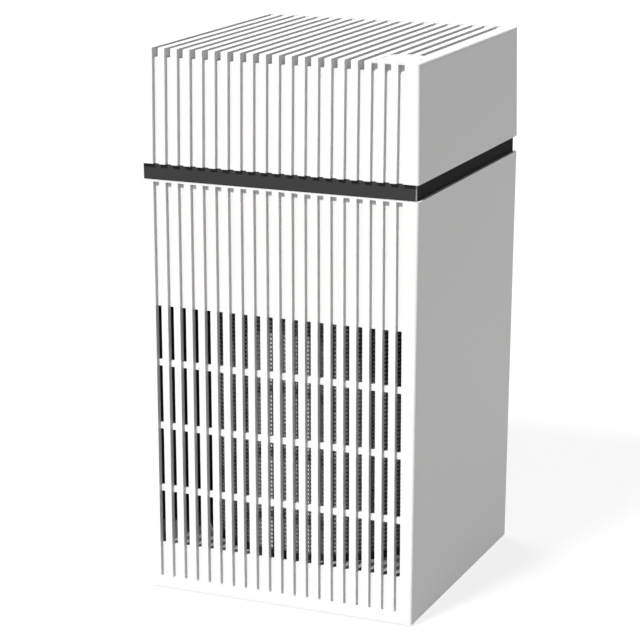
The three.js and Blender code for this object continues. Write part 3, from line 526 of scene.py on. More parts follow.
def pleated_paper(name, rgb):
    """Filter paper: matted glass fibre with slightly greyer patches."""
    finish = Finish(name, IOR=1.45)
    fibre = finish.noise(900, 6, finish.stretched((1, 1, 0.35)))
    return finish.wear(finish.noise(40, 3), tones(rgb, 0.9, 1.04), fibre * 0.1 + 0.86, fibre, 0.08)


def carbon(name):
    """Activated carbon held in felt: coarse black grains."""
    finish = Finish(name, IOR=1.5)
    grains = finish.cells("DISTANCE_TO_EDGE", 700)
    blacks = ((0.004, 0.004, 0.004), (0.035, 0.035, 0.036))
    return finish.wear(grains * 3, blacks, 0.9 - grains * 0.8, grains, 0.4)


def woven_strand(name, rgb):
    """Extruded net strand with drawn lines."""
    finish = Finish(name, IOR=1.5)
    drawn = finish.noise(1500, 3, finish.stretched((1, 1, 0.1)))
    return finish.wear(drawn, tones(rgb, 0.75, 1.35), drawn * 0.2 + 0.45, drawn, 0.03)


def diffuser(name):
    """Frosted light ring, unlit."""
    finish = Finish(name, IOR=1.49, Subsurface_Weight=0.15)
    frost = finish.noise(2200, 2)
    whites = ((0.80, 0.81, 0.82), (0.86, 0.87, 0.875))
    return finish.wear(frost, whites, frost * 0.2 + 0.3, frost, 0.02)


def circuit_board(name):
    """Green solder mask over a grid of tracks."""
    finish = Finish(name, IOR=1.5, Coat_Weight=0.3, Coat_Roughness=0.2)
    grid = {"Vector": finish.place, "Scale": 110, "Mortar Size": 0.09, "Mortar Smooth": 0.2}
    tracks = finish.node("ShaderNodeTexBrick", {"offset": 0.5}, grid, output="Fac")
    greens = ((0.012, 0.10, 0.035), (0.035, 0.20, 0.07))
    return finish.wear(tracks, greens, finish.noise(700, 3) * 0.15 + 0.35, tracks, 0.05)


def windings(name):
    """Enamelled copper wire laid side by side."""
    finish = Finish(name, Metallic=1.0)
    wires = {"Vector": finish.place, "Scale": 700, "Distortion": 0.6, "Detail": 1}
    turns = finish.node("ShaderNodeTexWave", {"bands_direction": "Z"}, wires, output="Fac")
    coppers = ((0.22, 0.06, 0.025), (0.62, 0.24, 0.10))
    return finish.wear(turns, coppers, turns * 0.1 + 0.28, turns, 0.2)


def plain_floor(name, rgb, glow):
    """A light table: a pale sheet that shines a little by itself."""
    finish = Finish(name, Specular_IOR_Level=0.0, Emission_Color=(1, 1, 1, 1), Emission_Strength=glow)
    patches = finish.noise(2, 2)
    return finish.wear(patches, tones(rgb, 0.99, 1.01), patches * 0.05 + 0.9)


MAKERS = {
    "shell white": lambda name, c: moulded(name, c.shell, 0.42),
    # Painted shade: the case's inner faces get this near-black finish in place of their own white.
    "shell inner painted shade": lambda name, c: moulded(name, c.inside, 0.8),
    "button white": lambda name, c: moulded(name, c.shell, 0.34, grain=0.012),
    "base pale": lambda name, c: moulded(name, c.base, 0.5),
    "band black": lambda name, c: moulded(name, c.band, 0.6, grain=0.05, grain_scale=1400, gloss=0.0),
    # Painted highlight: a lighter, glossier grey for the band's rounded corners stands in for the highlight
    # line along them.
    "band edge painted highlight": lambda name, c: moulded(name, shaded(c.band, 8), 0.3, gloss=0.6),
    "fan charcoal": lambda name, c: moulded(name, c.fan, 0.5, grain=0.04),
    "black plastic": lambda name, c: moulded(name, shaded(c.band, 0.6), 0.45, grain=0.03),
    "net strand": lambda name, c: woven_strand(name, c.net),
    "filter paper": lambda name, c: pleated_paper(name, c.paper),
    "foot rubber": lambda name, c: rubber(name),
    "seal foam": lambda name, c: foam(name),
    "carbon felt": lambda name, c: carbon(name),
    "ring diffuser": lambda name, c: diffuser(name),
    "circuit board": lambda name, c: circuit_board(name),
    "turned steel": lambda name, c: turned_metal(name, (0.56, 0.56, 0.57)),
    "copper windings": lambda name, c: windings(name),
    "studio floor": lambda name, c: plain_floor(name, c.floor, c.floor_glow),
}
# The second finish is the painted shade on the case's inner faces.
CASE_FINISHES = ("shell white", "shell inner painted shade")


def finish_of(context, name):
    """The named material, made the first time that it is asked for."""
    return bpy.data.materials.get(name) or MAKERS[name](name, context.scene.purifier_colours)


# ---- Case ----

def groove_centres(case):
    return [(i - (case.grooves - 1) / 2) * case.pitch for i in range(case.grooves)]


def in_groove(case, x):
    """Whether x is the middle line of a groove."""
    return any(abs(x - centre) < TOUCH for centre in groove_centres(case))


def inlet_rows(case):
    """Lowest and highest point of each row of inlet slots."""
    bottom = case.inlet_centre - case.inlet_reach
    top = case.inlet_centre + case.inlet_reach
    rows = []
    for i in range(-2, 2):
        low = case.inlet_centre + i * case.bar_pitch + case.bar_height / 2
        high = low + case.bar_pitch - case.bar_height
        rows.append((max(low, bottom), min(high, top)))
    return rows


def front_plan(case, half):
    """Outer and inner points, from the left seam round the front to the right seam."""
    inner = (half.x - case.side_wall, -(half.y - case.front_wall))
    arc = [math.radians(15 * i) for i in range(7)]
    right = [
        (
            (half.x - case.corner * (1 - math.sin(a)), -(half.y - case.corner * (1 - math.cos(a)))),
            inner,
        )
        for a in arc
    ]
    seam = -(case.seam + case.seam_gap / 2)
    right.append(((half.x, seam), (inner[0], seam)))
    left = [((-ox, oy), (-ix, iy)) for (ox, oy), (ix, iy) in reversed(right)]
    edges = [c + side * case.groove_width / 2 for c in groove_centres(case) for side in (-1, 1)]
    return left + [((x, -half.y), (x, inner[1])) for x in edges] + right


def round_end(bm, edge, radius, direction, steps=5):
    """Turns a level edge into the rounded end of a slot, reaching out by the radius."""
    low, high = sorted(v.co.x for v in edge.verts)
    turns = [math.pi / 2 * (i + 1) / steps for i in range(steps)]
    points = [(low + radius * (1 - math.cos(a)), radius * math.sin(a)) for a in turns]
    mirrored = [(low + high - x, rise) for x, rise in reversed(points)]
    points += mirrored[1:] if mirrored[0][0] - points[-1][0] < TOUCH else mirrored
    made = bmesh.ops.subdivide_edges(bm, edges=[edge], cuts=len(points))["geom_inner"]
    for vert, (x, rise) in zip(sorted(verts_of(made), key=lambda v: v.co.x), points):
        vert.co.x = x
        vert.co.z += direction * rise


def level_edges(bm, case, depth, z):
    """The grooves' edges at one height, at a depth below the skin."""
    y = depth - LOWER.half(z).y
    return [
        e for e in bm.edges
        if all(abs(v.co.z - z) < TOUCH and abs(v.co.y - y) < TOUCH for v in e.verts)
        and in_groove(case, (e.verts[0].co.x + e.verts[1].co.x) / 2)
    ]


def groove_faces(bm, case, depth, low, high):
    """The faces on the grooves' middle lines, between two heights, at a depth below the skin."""
    found = []
    for face in bm.faces:
        centre = face.calc_center_bounds()
        if low < centre.z < high and in_groove(case, centre.x):
            if abs(centre.y + LOWER.half(centre.z).y - depth) < 5 * TOUCH and abs(face.normal.y) > 0.9:
                found.append(face)
    return found


def grooved_panel(case):
    """The lower case's front: a wall that wraps both corners, with grooves, and slots through them."""
    radius = case.groove_width / 2
    rows = [(low + case.slot_corner, high - case.slot_corner) for low, high in inlet_rows(case)]
    row_levels = [z for row in rows for z in row]
    foot = case.groove_foot + radius
    top = LOWER.high - case.groove_rim
    outer = [LOWER.low, foot, *row_levels, top, LOWER.high]
    inner = [LOWER.low, *row_levels, LOWER.high]
    plans = {z: front_plan(case, LOWER.half(z)) for z in outer}
    stations = [
        [(*plans[z][k][0], z) for z in outer] + [(*plans[z][k][1], z) for z in reversed(inner)]
        for k in range(len(plans[foot]))
    ]
    bm = bmesh.new()
    sweep(bm, stations)
    tidy(bm)

    for edge in level_edges(bm, case, 0, foot):
        round_end(bm, edge, radius, -1)
    points = pushed(bm, groove_faces(bm, case, 0, foot, top))[1]
    bmesh.ops.translate(bm, vec=(0, case.groove_depth, 0), verts=points)

    for depth in (case.groove_depth, case.front_wall):
        for row in rows:
            for z, direction in zip(row, (-1, 1)):
                for edge in level_edges(bm, case, depth, z):
                    round_end(bm, edge, case.slot_corner, direction)
    bm.normal_update()
    floors = []
    backs = []
    for low, high in rows:
        floors += groove_faces(bm, case, case.groove_depth, low, high)
        backs += groove_faces(bm, case, case.front_wall, low, high)
    ends, points = pushed(bm, floors)
    through = (0, case.front_wall - case.groove_depth, 0)
    bmesh.ops.translate(bm, vec=through, verts=points)
    bmesh.ops.delete(bm, geom=ends + backs, context="FACES")
    tidy(bm)

    def on_skin(edge):
        return all(abs(v.co.y + LOWER.half(v.co.z).y) < TOUCH for v in edge.verts)

    soften(bm, case.edge, chosen=on_skin)
    # Painted shade on the inner faces.
    paint_inner_shade(bm, case, LOWER)
    return bm


def paint_inner_shade(bm, case, section):
    """Gives the faces on a wall's inner side, and those under the top, the second material: a near-black
    painted shade in place of the case's own white.
    """
    for face in bm.faces:
        centre = face.calc_center_median()
        inner = section.half(centre.z) - Vector((case.side_wall, case.front_wall))
        beside = [abs(abs(c) - limit) < 3 * TOUCH for c, limit in zip(centre, inner)]
        turned = [n * c < 0 and abs(n) > 0.7 for n, c in zip(face.normal, centre)]
        under = face.normal.z < -0.7 and abs(centre.x) < inner.x and abs(centre.y) < inner.y
        if any(a and b for a, b in zip(beside, turned)) or under:
            face.material_index = 1


def side_panel(case, side):
    """A plain side, with two bosses for the base's screws."""
    seam = case.seam - case.seam_gap / 2
    levels = [LOWER.low, LOWER.high]

    def station(y):
        outer = [(side * LOWER.half(z).x, y, z) for z in levels]
        inner = [(side * (LOWER.half(z).x - case.side_wall), y, z) for z in reversed(levels)]
        return outer + inner

    bm = bmesh.new()
    sweep(bm, [station(y) for y in (-seam, seam)])
    tidy(bm)

    def rim(edge):
        return abs(edge.verts[0].co.z - edge.verts[1].co.z) < TOUCH

    soften(bm, case.edge, chosen=rim)
    # Painted shade on the inner faces.
    paint_inner_shade(bm, case, LOWER)
    into_wall = 2 * MM
    bosses = []
    for name in SCREWS["base"]:
        centre = middle(name)
        if centre.x * side > 0:
            boss = screw_boss(5.8 * MM, BASE_HIGH.z + 0.3 * MM, 48 * MM, 45 * MM)
            bosses.append(moved(boss, (centre.x + side * into_wall, centre.y, 0)))
    return gathered([bm, *bosses])


class PURIFIER_OT_lower_case(bpy.types.Operator):
    """Builds the grooved front and rear and the two plain sides of the lower case"""

    bl_idname = "purifier.lower_case"
    bl_label = "Lower case"

    def execute(self, context):
        case = context.scene.purifier_case
        panels = {
            ("case_front", "front_grille"): grooved_panel(case),
            ("case_rear", "rear_grille"): socket_opening(
                case, moved(grooved_panel(case), turn=(math.pi, "Z"))
            ),
            ("case_left_side", "left_side_panel"): side_panel(case, -1),
            ("case_right_side", "right_side_panel"): side_panel(case, 1),
        }
        for (name, node), panel in panels.items():
            place_piece(context, panel, name, CASE_FINISHES, "root", "white_plastic", node)
        return {"FINISHED"}


def socket_opening(case, rear):
    """Cuts the pocket for the socket's flange, and the opening for its body, into the rear."""
    face = LOWER.half(SOCKET_CENTRE.z).y
    half = (SOCKET_HIGH - SOCKET_LOW) / 2
    play = 0.3 * MM
    rim = SOCKET_FLANGE - play
    outside = 20 * MM
    flange = plate(half.x + play, half.z + play, 0, outside, 2.4 * MM)
    body = plate(half.x - rim, half.z - rim, -outside, outside, 2 * MM)
    for tool, y in ((flange, face - case.groove_depth), (body, face)):
        moved(tool, (SOCKET_CENTRE.x, y, SOCKET_CENTRE.z), FACING_REAR)
        rear = carved(rear, tool)
    return rear


def cover_loop(case, x, sunk, end=False):
    """The top cover's upright section at x, with its front and rear skins sunk by a depth."""
    top = UPPER.high
    notch = top - case.notch
    foot = top - case.rib
    slot_end = UPPER.top.y - case.front_wall
    rim = UPPER.foot.y - case.front_wall

    def across(z, wall=0):
        return math.copysign(UPPER.half(z).x - wall, x) if end else x

    def skin(z, side, depth):
        return (across(z), side * (UPPER.half(z).y - depth), z)

    def inside(y, z):
        return (across(z, case.side_wall), y, z)

    return [
        skin(UPPER.low, -1, sunk),
        skin(notch, -1, sunk),
        skin(top, -1, 0),
        (across(top), -slot_end, top),
        (across(top), slot_end, top),
        skin(top, 1, 0),
        skin(notch, 1, 0),
        skin(notch, 1, sunk),
        skin(UPPER.low, 1, sunk),
        inside(rim, UPPER.low),
        inside(slot_end, foot),
        inside(-slot_end, foot),
        inside(-rim, UPPER.low),
    ]


FRONT_NOTCH, FRONT_TOP, SLOT_FRONT, SLOT_REAR = 1, 2, 3, 4
INNER_REAR, INNER_FRONT = 10, 11
OUTER_LOOP = range(9)
INNER_LOOP = range(9, 13)


def cover_shell(case):
    """The top cover: a five-sided shell with grooves that run over the top as open slots."""
    stations = [cover_loop(case, -1, 0, end=True)]
    for centre in groove_centres(case):
        for side in (-1, 1):
            x = centre + side * case.groove_width / 2
            pair = [cover_loop(case, x, sunk) for sunk in (0, case.groove_depth)]
            stations += pair if side < 0 else reversed(pair)
    stations.append(cover_loop(case, 1, 0, end=True))
    bm = bmesh.new()
    order = sweep(bm, stations, capped=False)
    close_cover_sides(bm, order)
    tidy(bm)

    def slot_faces(*allowed):
        return [
            f for f in bm.faces
            if in_groove(case, f.calc_center_bounds().x) and {v[order] for v in f.verts} <= set(allowed)
        ]

    first_covered = groove_centres(case)[-case.covered] - TOUCH
    whole = slot_faces(SLOT_FRONT, SLOT_REAR)
    whole = [f for f in whole if f.calc_center_bounds().x > first_covered]
    ahead = slot_faces(FRONT_NOTCH, FRONT_TOP, SLOT_FRONT, SLOT_REAR)
    ahead = [f for f in ahead if f.calc_center_bounds().x < first_covered]
    floors, points = pushed(bm, ahead + whole)
    for vert in points:
        vert.co.z = UPPER.high - case.notch
        if vert[order] == FRONT_TOP:
            vert.co.y = case.groove_depth - UPPER.half(vert.co.z).y
    lengthwise = [f for f in floors if {v[order] for v in f.verts} == {SLOT_FRONT, SLOT_REAR}]
    ends, points = pushed(bm, lengthwise)
    for vert in points:
        vert.co.z = UPPER.high - case.rib
    bmesh.ops.delete(bm, geom=ends + slot_faces(INNER_REAR, INNER_FRONT), context="FACES")
    tidy(bm)
    return bm


def close_cover_sides(bm, order):
    """Closes the two sides of the swept section: an outer wall, an inner wall and the rim below them."""
    beyond_grooves = 104 * MM

    def at_end(vert, side):
        return side * vert.co.x > beyond_grooves

    for side in (-1, 1):
        ends = {}
        for vert in bm.verts:
            along = [e for e in vert.link_edges if at_end(e.other_vert(vert), side)]
            if at_end(vert, side) and all(e.is_boundary for e in along):
                ends[vert[order]] = vert
        rim = (OUTER_LOOP[0], OUTER_LOOP[-1], INNER_LOOP[0], INNER_LOOP[-1])
        for loop in (OUTER_LOOP, INNER_LOOP, rim):
            bm.faces.new([ends[i] for i in loop])


class PURIFIER_OT_top_cover(bpy.types.Operator):
    """Builds the slotted top cover with its button plate"""

    bl_idname = "purifier.top_cover"
    bl_label = "Top cover"

    def execute(self, context):
        case = context.scene.purifier_case
        control = context.scene.purifier_control
        bm = cover_shell(case)

        def outer(vert):
            half = UPPER.half(vert.co.z)
            return (
                abs(abs(vert.co.y) - half.y) < TOUCH
                or abs(abs(vert.co.x) - half.x) < TOUCH
                or vert.co.z > UPPER.high - TOUCH
            )

        def long_edge(edge):
            on_side = all(abs(abs(v.co.x) - UPPER.half(v.co.z).x) < TOUCH for v in edge.verts)
            return on_side and any(v.co.z > UPPER.low + TOUCH for v in edge.verts)

        soften(bm, case.corner, 6, long_edge)
        soften(bm, case.edge, 2, lambda e: all(outer(v) for v in e.verts), math.radians(50))
        bm = carved(bm, button_plate(case, control), "UNION")
        bm = carved(bm, covered_ends(case))
        bm = carved(bm, tie_bar(case), "UNION")
        below = UPPER.high - 20 * MM
        for radius, high in (
            (control.bore, UPPER.high + MM),
            (control.cup, UPPER.high - control.plate_depth),
        ):
            bm = carved(bm, moved(tube(0, radius, below, high), BUTTON_AXIS))
        # Painted shade on the inner faces and under the top.
        paint_inner_shade(bm, case, UPPER)
        bm = gathered([bm, *cover_bosses()])
        place_piece(context, bm, "top_shell", CASE_FINISHES, "root", "white_plastic", "top_cover")
        return {"FINISHED"}


def button_plate(case, control):
    """The plate round the button: a disc, and a web that carries it to the front edge."""
    low = UPPER.high - control.plate_depth
    high = UPPER.high - TOUCH
    disc = moved(tube(0, control.plate, low, high), BUTTON_AXIS)
    left = groove_centres(case)[-case.covered] - MM
    right = 102 * MM
    front = -UPPER.top.y + 1.4 * case.edge
    web = plate((right - left) / 2, (BUTTON_CENTRE.y - front) / 2, low + TOUCH, high - TOUCH, 0.5 * MM)
    moved(web, ((left + right) / 2, (BUTTON_CENTRE.y + front) / 2, 0))
    return carved(disc, web, "UNION")


def tie_bar(case):
    """The bar that ties the outlet's ribs together from below."""
    top = UPPER.high - case.rib + TOUCH
    reach = UPPER.top.x - case.side_wall + MM
    return plate(reach, 2 * MM, top - 3 * MM, top, 0.5 * MM)


def cover_bosses():
    """The bosses that take the cover's screws."""
    bosses = []
    for name in SCREWS["cover"]:
        centre = middle(name)
        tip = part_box(name)[1].z
        boss = screw_boss(4.6 * MM, UPPER.low + MM, tip + 4 * MM, tip + MM)
        bosses.append(moved(boss, (centre.x, centre.y, 0)))
    return bosses


def covered_ends(case):
    """The pockets that the covered grooves end in, below the plate."""
    low = UPPER.high - case.notch
    high = UPPER.high - 1.3 * MM
    depth = 4 * MM
    outside = 10 * MM
    half_width = (case.groove_width - TOUCH) / 2
    ends = []
    for x in groove_centres(case)[-case.covered:]:
        pocket = plate(half_width, (high - low) / 2, 0, depth + outside, 0.9 * MM)
        ends.append(moved(pocket, (x, depth - UPPER.top.y, (low + high) / 2), (math.pi / 2, "X")))
    return gathered(ends)


class PURIFIER_OT_band(bpy.types.Operator):
    """Builds the recessed dark band between the lower case and the top cover"""

    bl_idname = "purifier.band"
    bl_label = "Waist band"

    def execute(self, context):
        case = context.scene.purifier_case
        half_x = WIDEST.x - 2.2 * MM
        half_y = WIDEST.y - 2.4 * MM
        gap = 0.3 * MM
        low = LOWER.high + gap
        high = UPPER.low - gap
        wall = 2.5 * MM
        roof = 3 * MM
        opening = 92.6 * MM
        bm = plate(half_x, half_y, low, high, case.corner)
        soften(bm, case.edge)
        bm = carved(bm, tube(0, opening, low - MM, high + MM))
        lead_hole = tube(0, 5 * MM, low - MM, high + MM, 24)
        bm = carved(bm, moved(lead_hole, (-78 * MM, 78 * MM, 0)))
        relief = carved(
            plate(half_x - wall, half_y - wall, low - MM, high - roof, case.corner),
            tube(0, opening + wall, low - 2 * MM, high),
        )
        bm = carved(bm, relief)
        bm.normal_update()
        # Painted highlight: the middle faces of the band's rounded upright corners take the lighter second
        # finish.
        near_corner = 140 * MM
        for face in bm.faces:
            slant = min(abs(face.normal.x), abs(face.normal.y))
            upright = abs(face.normal.z) < 0.1
            if face.calc_center_median().to_2d().length > near_corner and upright and slant > 0.6:
                face.material_index = 1
        finishes = ("band black", "band edge painted highlight")
        place_piece(context, bm, "waist_band", finishes, "root", "black_plastic", "middle_band")
        return {"FINISHED"}


# ---- Control ----

def return_spring(control):
    """A coil spring with its ends on the board and under the button."""
    low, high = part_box("button_spring")
    wire = control.wire / 2
    radius = (high.x - low.x) / 2 - wire
    steps = 30 * control.turns
    sides = 10
    rim = [2 * math.pi * k / sides for k in range(sides)]
    rim = [(math.cos(a), math.sin(a)) for a in rim]
    stations = []
    for i in range(steps + 1):
        around = 2 * math.pi * i * control.turns / steps
        out = Vector((math.cos(around), math.sin(around), 0))
        centre = out * radius
        centre.z = low.z + wire + (high.z - low.z - 2 * wire) * i / steps
        stations.append([centre + (out * c + Vector((0, 0, s))) * wire for c, s in rim])
    bm = bmesh.new()
    sweep(bm, stations)
    tidy(bm)
    return moved(bm, ((low.x + high.x) / 2, (low.y + high.y) / 2, 0))


class PURIFIER_OT_control(bpy.types.Operator):
    """Builds the round button and the frosted ring round it"""

    bl_idname = "purifier.control"
    bl_label = "Button and ring"

    def execute(self, context):
        control = context.scene.purifier_control
        centre = BUTTON_AXIS
        radius = (BUTTON_HIGH.x - BUTTON_LOW.x) / 2
        top = BUTTON_HIGH.z
        skirt = top - 2.6 * MM
        stem = 3 * MM
        cap = spun(
            [
                (0, BUTTON_LOW.z), (stem, BUTTON_LOW.z), (stem, skirt), (radius, skirt),
                (radius, top), (radius * 0.8, top - control.crown * 0.6),
                (radius * 0.4, top - control.crown), (0, top - control.crown),
            ]
        )
        soften(cap, 0.35 * MM, 3)
        moved(cap, centre)
        place_piece(context, cap, "button_cap", ["button white"], "button", "white_plastic", "power_button")
        low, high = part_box("button_spring")
        spring = return_spring(control)
        spring = place_piece(
            context, spring, "return_spring", ["turned steel"], "root", "steel", "button_spring"
        )
        travel = next(j for j in frame["joints"] if j["name"] == "button_press")["range_m"][1]
        kept = 1 - travel / (high.z - low.z)
        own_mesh(spring)
        low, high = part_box("light_ring")
        outer = (high.x - low.x) / 2
        ring = tube(outer - 0.7 * MM, outer, low.z, high.z)
        soften(ring, 0.12 * MM)
        moved(ring, centre)
        place_piece(context, ring, "halo_ring", ["ring diffuser"], "root", "light_diffuser", "light_ring")
        return {"FINISHED"}


# ---- Base, door, feet and socket ----

def foot_of(node):
    """A rubber foot with a rounded tread and a moulded groove round it."""
    low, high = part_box(node)
    radius = (high.x - low.x) / 2
    groove = low.z + 0.4 * MM
    foot = spun(
        [
            (0, low.z), (radius * 0.45, low.z), (radius * 0.5, groove), (radius * 0.6, groove),
            (radius * 0.65, low.z), (radius * 0.92, low.z), (radius, low.z + 0.8 * MM),
            (radius, high.z), (0, high.z),
        ],
        48,
    )
    soften(foot, 0.15 * MM)
    return moved(foot, ((low.x + high.x) / 2, (low.y + high.y) / 2, 0))


def base_tray(case):
    """The base: a shallow tray with a round opening, hollow corners and posts for the screws."""
    low, high = BASE_LOW.z, BASE_HIGH.z
    wall = 2.5 * MM
    roof = 3 * MM
    opening = 96 * MM
    post = 6.5 * MM
    head = 4 * MM
    seat = low + 3.2 * MM
    through = high + MM
    bore = [(0, -MM), (head, -MM), (head, seat), (SCREW_BORE, seat), (SCREW_BORE, through), (0, through)]
    tray = plate(BASE_HIGH.x, BASE_HIGH.y, low, high, case.corner)
    soften(tray, case.edge)
    relief = plate(BASE_HIGH.x - wall, BASE_HIGH.y - wall, low - MM, high - roof, case.corner)
    relief = carved(relief, tube(0, opening + wall, low - 2 * MM, high))
    for screw in SCREWS["base"]:
        centre = middle(screw)
        place = (centre.x, centre.y, 0)
        relief = carved(relief, moved(tube(0, post, 0, high, 40), place))
        relief = gathered([relief, moved(spun(bore, 32), place)])
    tray = carved(tray, relief)
    tray = carved(tray, tube(0, opening, -MM, through, 128))
    window = plate(14 * MM, 12 * MM, low - MM, SOCKET_CENTRE.z + 9.5 * MM, MM)
    return carved(tray, moved(window, (SOCKET_CENTRE.x, 102 * MM, 0)))


LUG_ANGLES = (30, 150, 270)
LUG_CIRCLE = 96 * MM
PIN_OFFSET = 4.3 * MM
PIN_RADIUS = 1.2 * MM


def filter_door():
    """The round filter door, with a rim, a raised ring for the cartridge, a grip and three lugs."""
    low = DOOR_LOW.z
    radius = 95.4 * MM
    wall = 3 * MM
    ring = 87 * MM
    floor = low + 4 * MM
    rim = low + 10 * MM
    grip_top = 27 * MM
    pocket_top = 24.5 * MM
    shell = spun(
        [
            (0, low), (radius, low), (radius, rim), (radius - wall, rim), (radius - wall, floor),
            (ring, floor), (ring, DOOR_HIGH.z), (ring - wall, DOOR_HIGH.z), (ring - wall, floor),
            (0, floor),
        ],
        128,
    )
    soften(shell, 0.6 * MM, 3)
    grip = plate(40 * MM, 25 * MM, low + MM, grip_top, 3 * MM)
    soften(grip, 0.6 * MM, 3, above(grip_top))
    shell = carved(shell, grip, "UNION")
    for side in (-1, 1):
        pocket = plate(37.5 * MM, 7.75 * MM, low - 5 * MM, pocket_top, 2.5 * MM)
        soften(pocket, 2 * MM, 4, above(pocket_top))
        shell = carved(shell, moved(pocket, (0, side * 14.75 * MM, 0)))
    for angle in LUG_ANGLES:
        lug = plate(1.9 * MM, 5.8 * MM, 8 * MM, 11 * MM, 0.8 * MM)
        moved(lug, (LUG_CIRCLE, 0, 0))
        shell = carved(shell, moved(lug, turn=(math.radians(angle), "Z")), "UNION")
    return shell


def power_socket():
    """The two-pin socket: a flange, a body with a cavity, and the pins."""
    half = (SOCKET_HIGH - SOCKET_LOW) / 2
    depth = SOCKET_HIGH.y - SOCKET_LOW.y
    foot = depth - 15 * MM
    tip = depth - 6 * MM
    flange = plate(half.x, half.z, depth - 2 * MM, depth, 2.2 * MM)
    soften(flange, 0.4 * MM, 3, above(depth))
    body = plate(half.x - SOCKET_FLANGE, half.z - SOCKET_FLANGE, 0, depth - MM, 1.8 * MM)
    body = carved(body, flange, "UNION")
    body = carved(body, plate(10 * MM, 5.4 * MM, depth - 14 * MM, depth + MM, 4.6 * MM, 8))
    soften(body, 0.3 * MM, 2, above(depth))
    pins = []
    for side in (-1, 1):
        pin = tube(0, PIN_RADIUS, foot, tip, 24)
        soften(pin, 0.5 * MM, 3, above(tip))
        pins.append(moved(pin, (side * PIN_OFFSET, 0, 0)))
    socket = gathered([body, *pins])
    for face in socket.faces:
        if is_pin(face):
            face.material_index = 1
    return moved(socket, (SOCKET_CENTRE.x, SOCKET_LOW.y, SOCKET_CENTRE.z), FACING_REAR)


def is_pin(face):
    """Whether a face of the socket, before it is turned, lies on one of its pins."""
    centre = face.calc_center_median()
    from_axis = math.hypot(abs(centre.x) - PIN_OFFSET, centre.y)
    return from_axis < PIN_RADIUS + 0.1 * MM and centre.z > 6.5 * MM


class PURIFIER_OT_base(bpy.types.Operator):
    """Builds the base, its feet, the filter door and the power socket"""

    bl_idname = "purifier.base"
    bl_label = "Base"

    def execute(self, context):
        tray = base_tray(context.scene.purifier_case)
        place_piece(context, tray, "base_tray", ["base pale"], "root", "pale_plastic", "base_frame")
        door = filter_door()
        place_piece(context, door, "door_plate", ["shell white"], "door", "white_plastic", "filter_door")
        finishes = ("black plastic", "turned steel")
        socket = power_socket()
        place_piece(context, socket, "supply_socket", finishes, "root", "black_plastic", "power_socket")
        for corner in ("front_left", "front_right", "rear_left", "rear_right"):
            node = f"foot_{corner}"
            foot = foot_of(node)
            place_piece(context, foot, f"rubber_{node}", ["foot rubber"], "root", "rubber", node)
        return {"FINISHED"}


# ---- Filter ----

def filter_net(sizes):
    """The net: upright strands with level rings laid inside them."""
    low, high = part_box("filter_net")
    outer = high.x - 0.05 * MM
    half = sizes.strand / 2
    depth = sizes.strand_depth
    height = high.z - low.z
    strand_middle = outer - depth / 2
    strands = round(2 * math.pi * outer / sizes.mesh_x)
    whole = bmesh.new()
    bar = bmesh.ops.create_cube(whole, size=1)["verts"]
    bmesh.ops.scale(whole, vec=(depth, sizes.strand, height), verts=bar)
    bmesh.ops.translate(whole, vec=(strand_middle, 0, (low.z + high.z) / 2), verts=bar)
    upright = [e for e in whole.edges if e.calc_length() > height / 2 and e.verts[0].co.x > strand_middle]
    bevel(whole, upright, depth * 0.3, 1)
    bmesh.ops.spin(
        whole, geom=list(whole.verts) + list(whole.edges) + list(whole.faces), cent=(0, 0, 0),
        axis=(0, 0, 1), angle=2 * math.pi * (strands - 1) / strands, steps=strands - 1,
        use_duplicate=True,
    )
    levels = round(height / sizes.mesh_z)
    inside = outer - depth - TOUCH
    rings = []
    for i in range(levels + 1):
        z = low.z + half + (height - 2 * half) * i / levels
        profile = [
            (inside - depth, z - half), (inside, z - half * 0.8),
            (inside, z + half * 0.8), (inside - depth, z + half),
        ]
        rings.append(spun(profile, 120))
    return gathered([whole, *rings])


def pleated_ring(sizes):
    """The pleated paper: a ring whose outer side folds in and out."""
    low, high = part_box("filter_media")
    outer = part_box("filter_net")[1].x - 2.4 * sizes.strand_depth
    fold_steps = 6
    steps = sizes.pleats * fold_steps
    bm = bmesh.new()
    bmesh.ops.create_circle(bm, segments=steps, radius=61.6 * MM)
    folds = bmesh.ops.create_circle(bm, segments=steps, radius=outer)["verts"]
    for i, vert in enumerate(folds):
        fold = math.sin(math.pi * i / fold_steps) ** 4
        vert.co *= 1 - fold * sizes.pleat_depth / outer
    bmesh.ops.bridge_loops(bm, edges=list(bm.edges))
    bmesh.ops.translate(bm, vec=(0, 0, low.z), verts=bm.verts)
    return raised(bm, high.z - low.z)


def ring_cap(node, inner, upwards):
    """An end cap of the cartridge: a flat ring with a lip up or down round its outer edge."""
    low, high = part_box(node)
    lip = high.x - 2 * MM
    flat = 3 * MM if upwards else -3 * MM
    outside, edge = (low.z, high.z) if upwards else (high.z, low.z)
    cap = spun(
        [
            (inner, outside), (high.x, outside), (high.x, edge), (lip, edge), (lip, outside + flat),
            (inner, outside + flat),
        ],
        128,
    )
    soften(cap, 0.5 * MM, 3)
    return cap


def sleeve(node, inner, edge, segments=2):
    """A ring of foam or felt with rounded edges."""
    low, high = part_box(node)
    ring = tube(inner, high.x, low.z, high.z)
    soften(ring, edge, segments)
    return ring


def pull_tab():
    """A flat loop of stiff tape."""
    low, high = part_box("filter_pull_tab")
    tab = plate((high.x - low.x) / 2, (high.y - low.y) / 2, low.z, high.z, 4 * MM)
    soften(tab, 0.25 * MM)
    return moved(tab, (0, (low.y + high.y) / 2, 0))


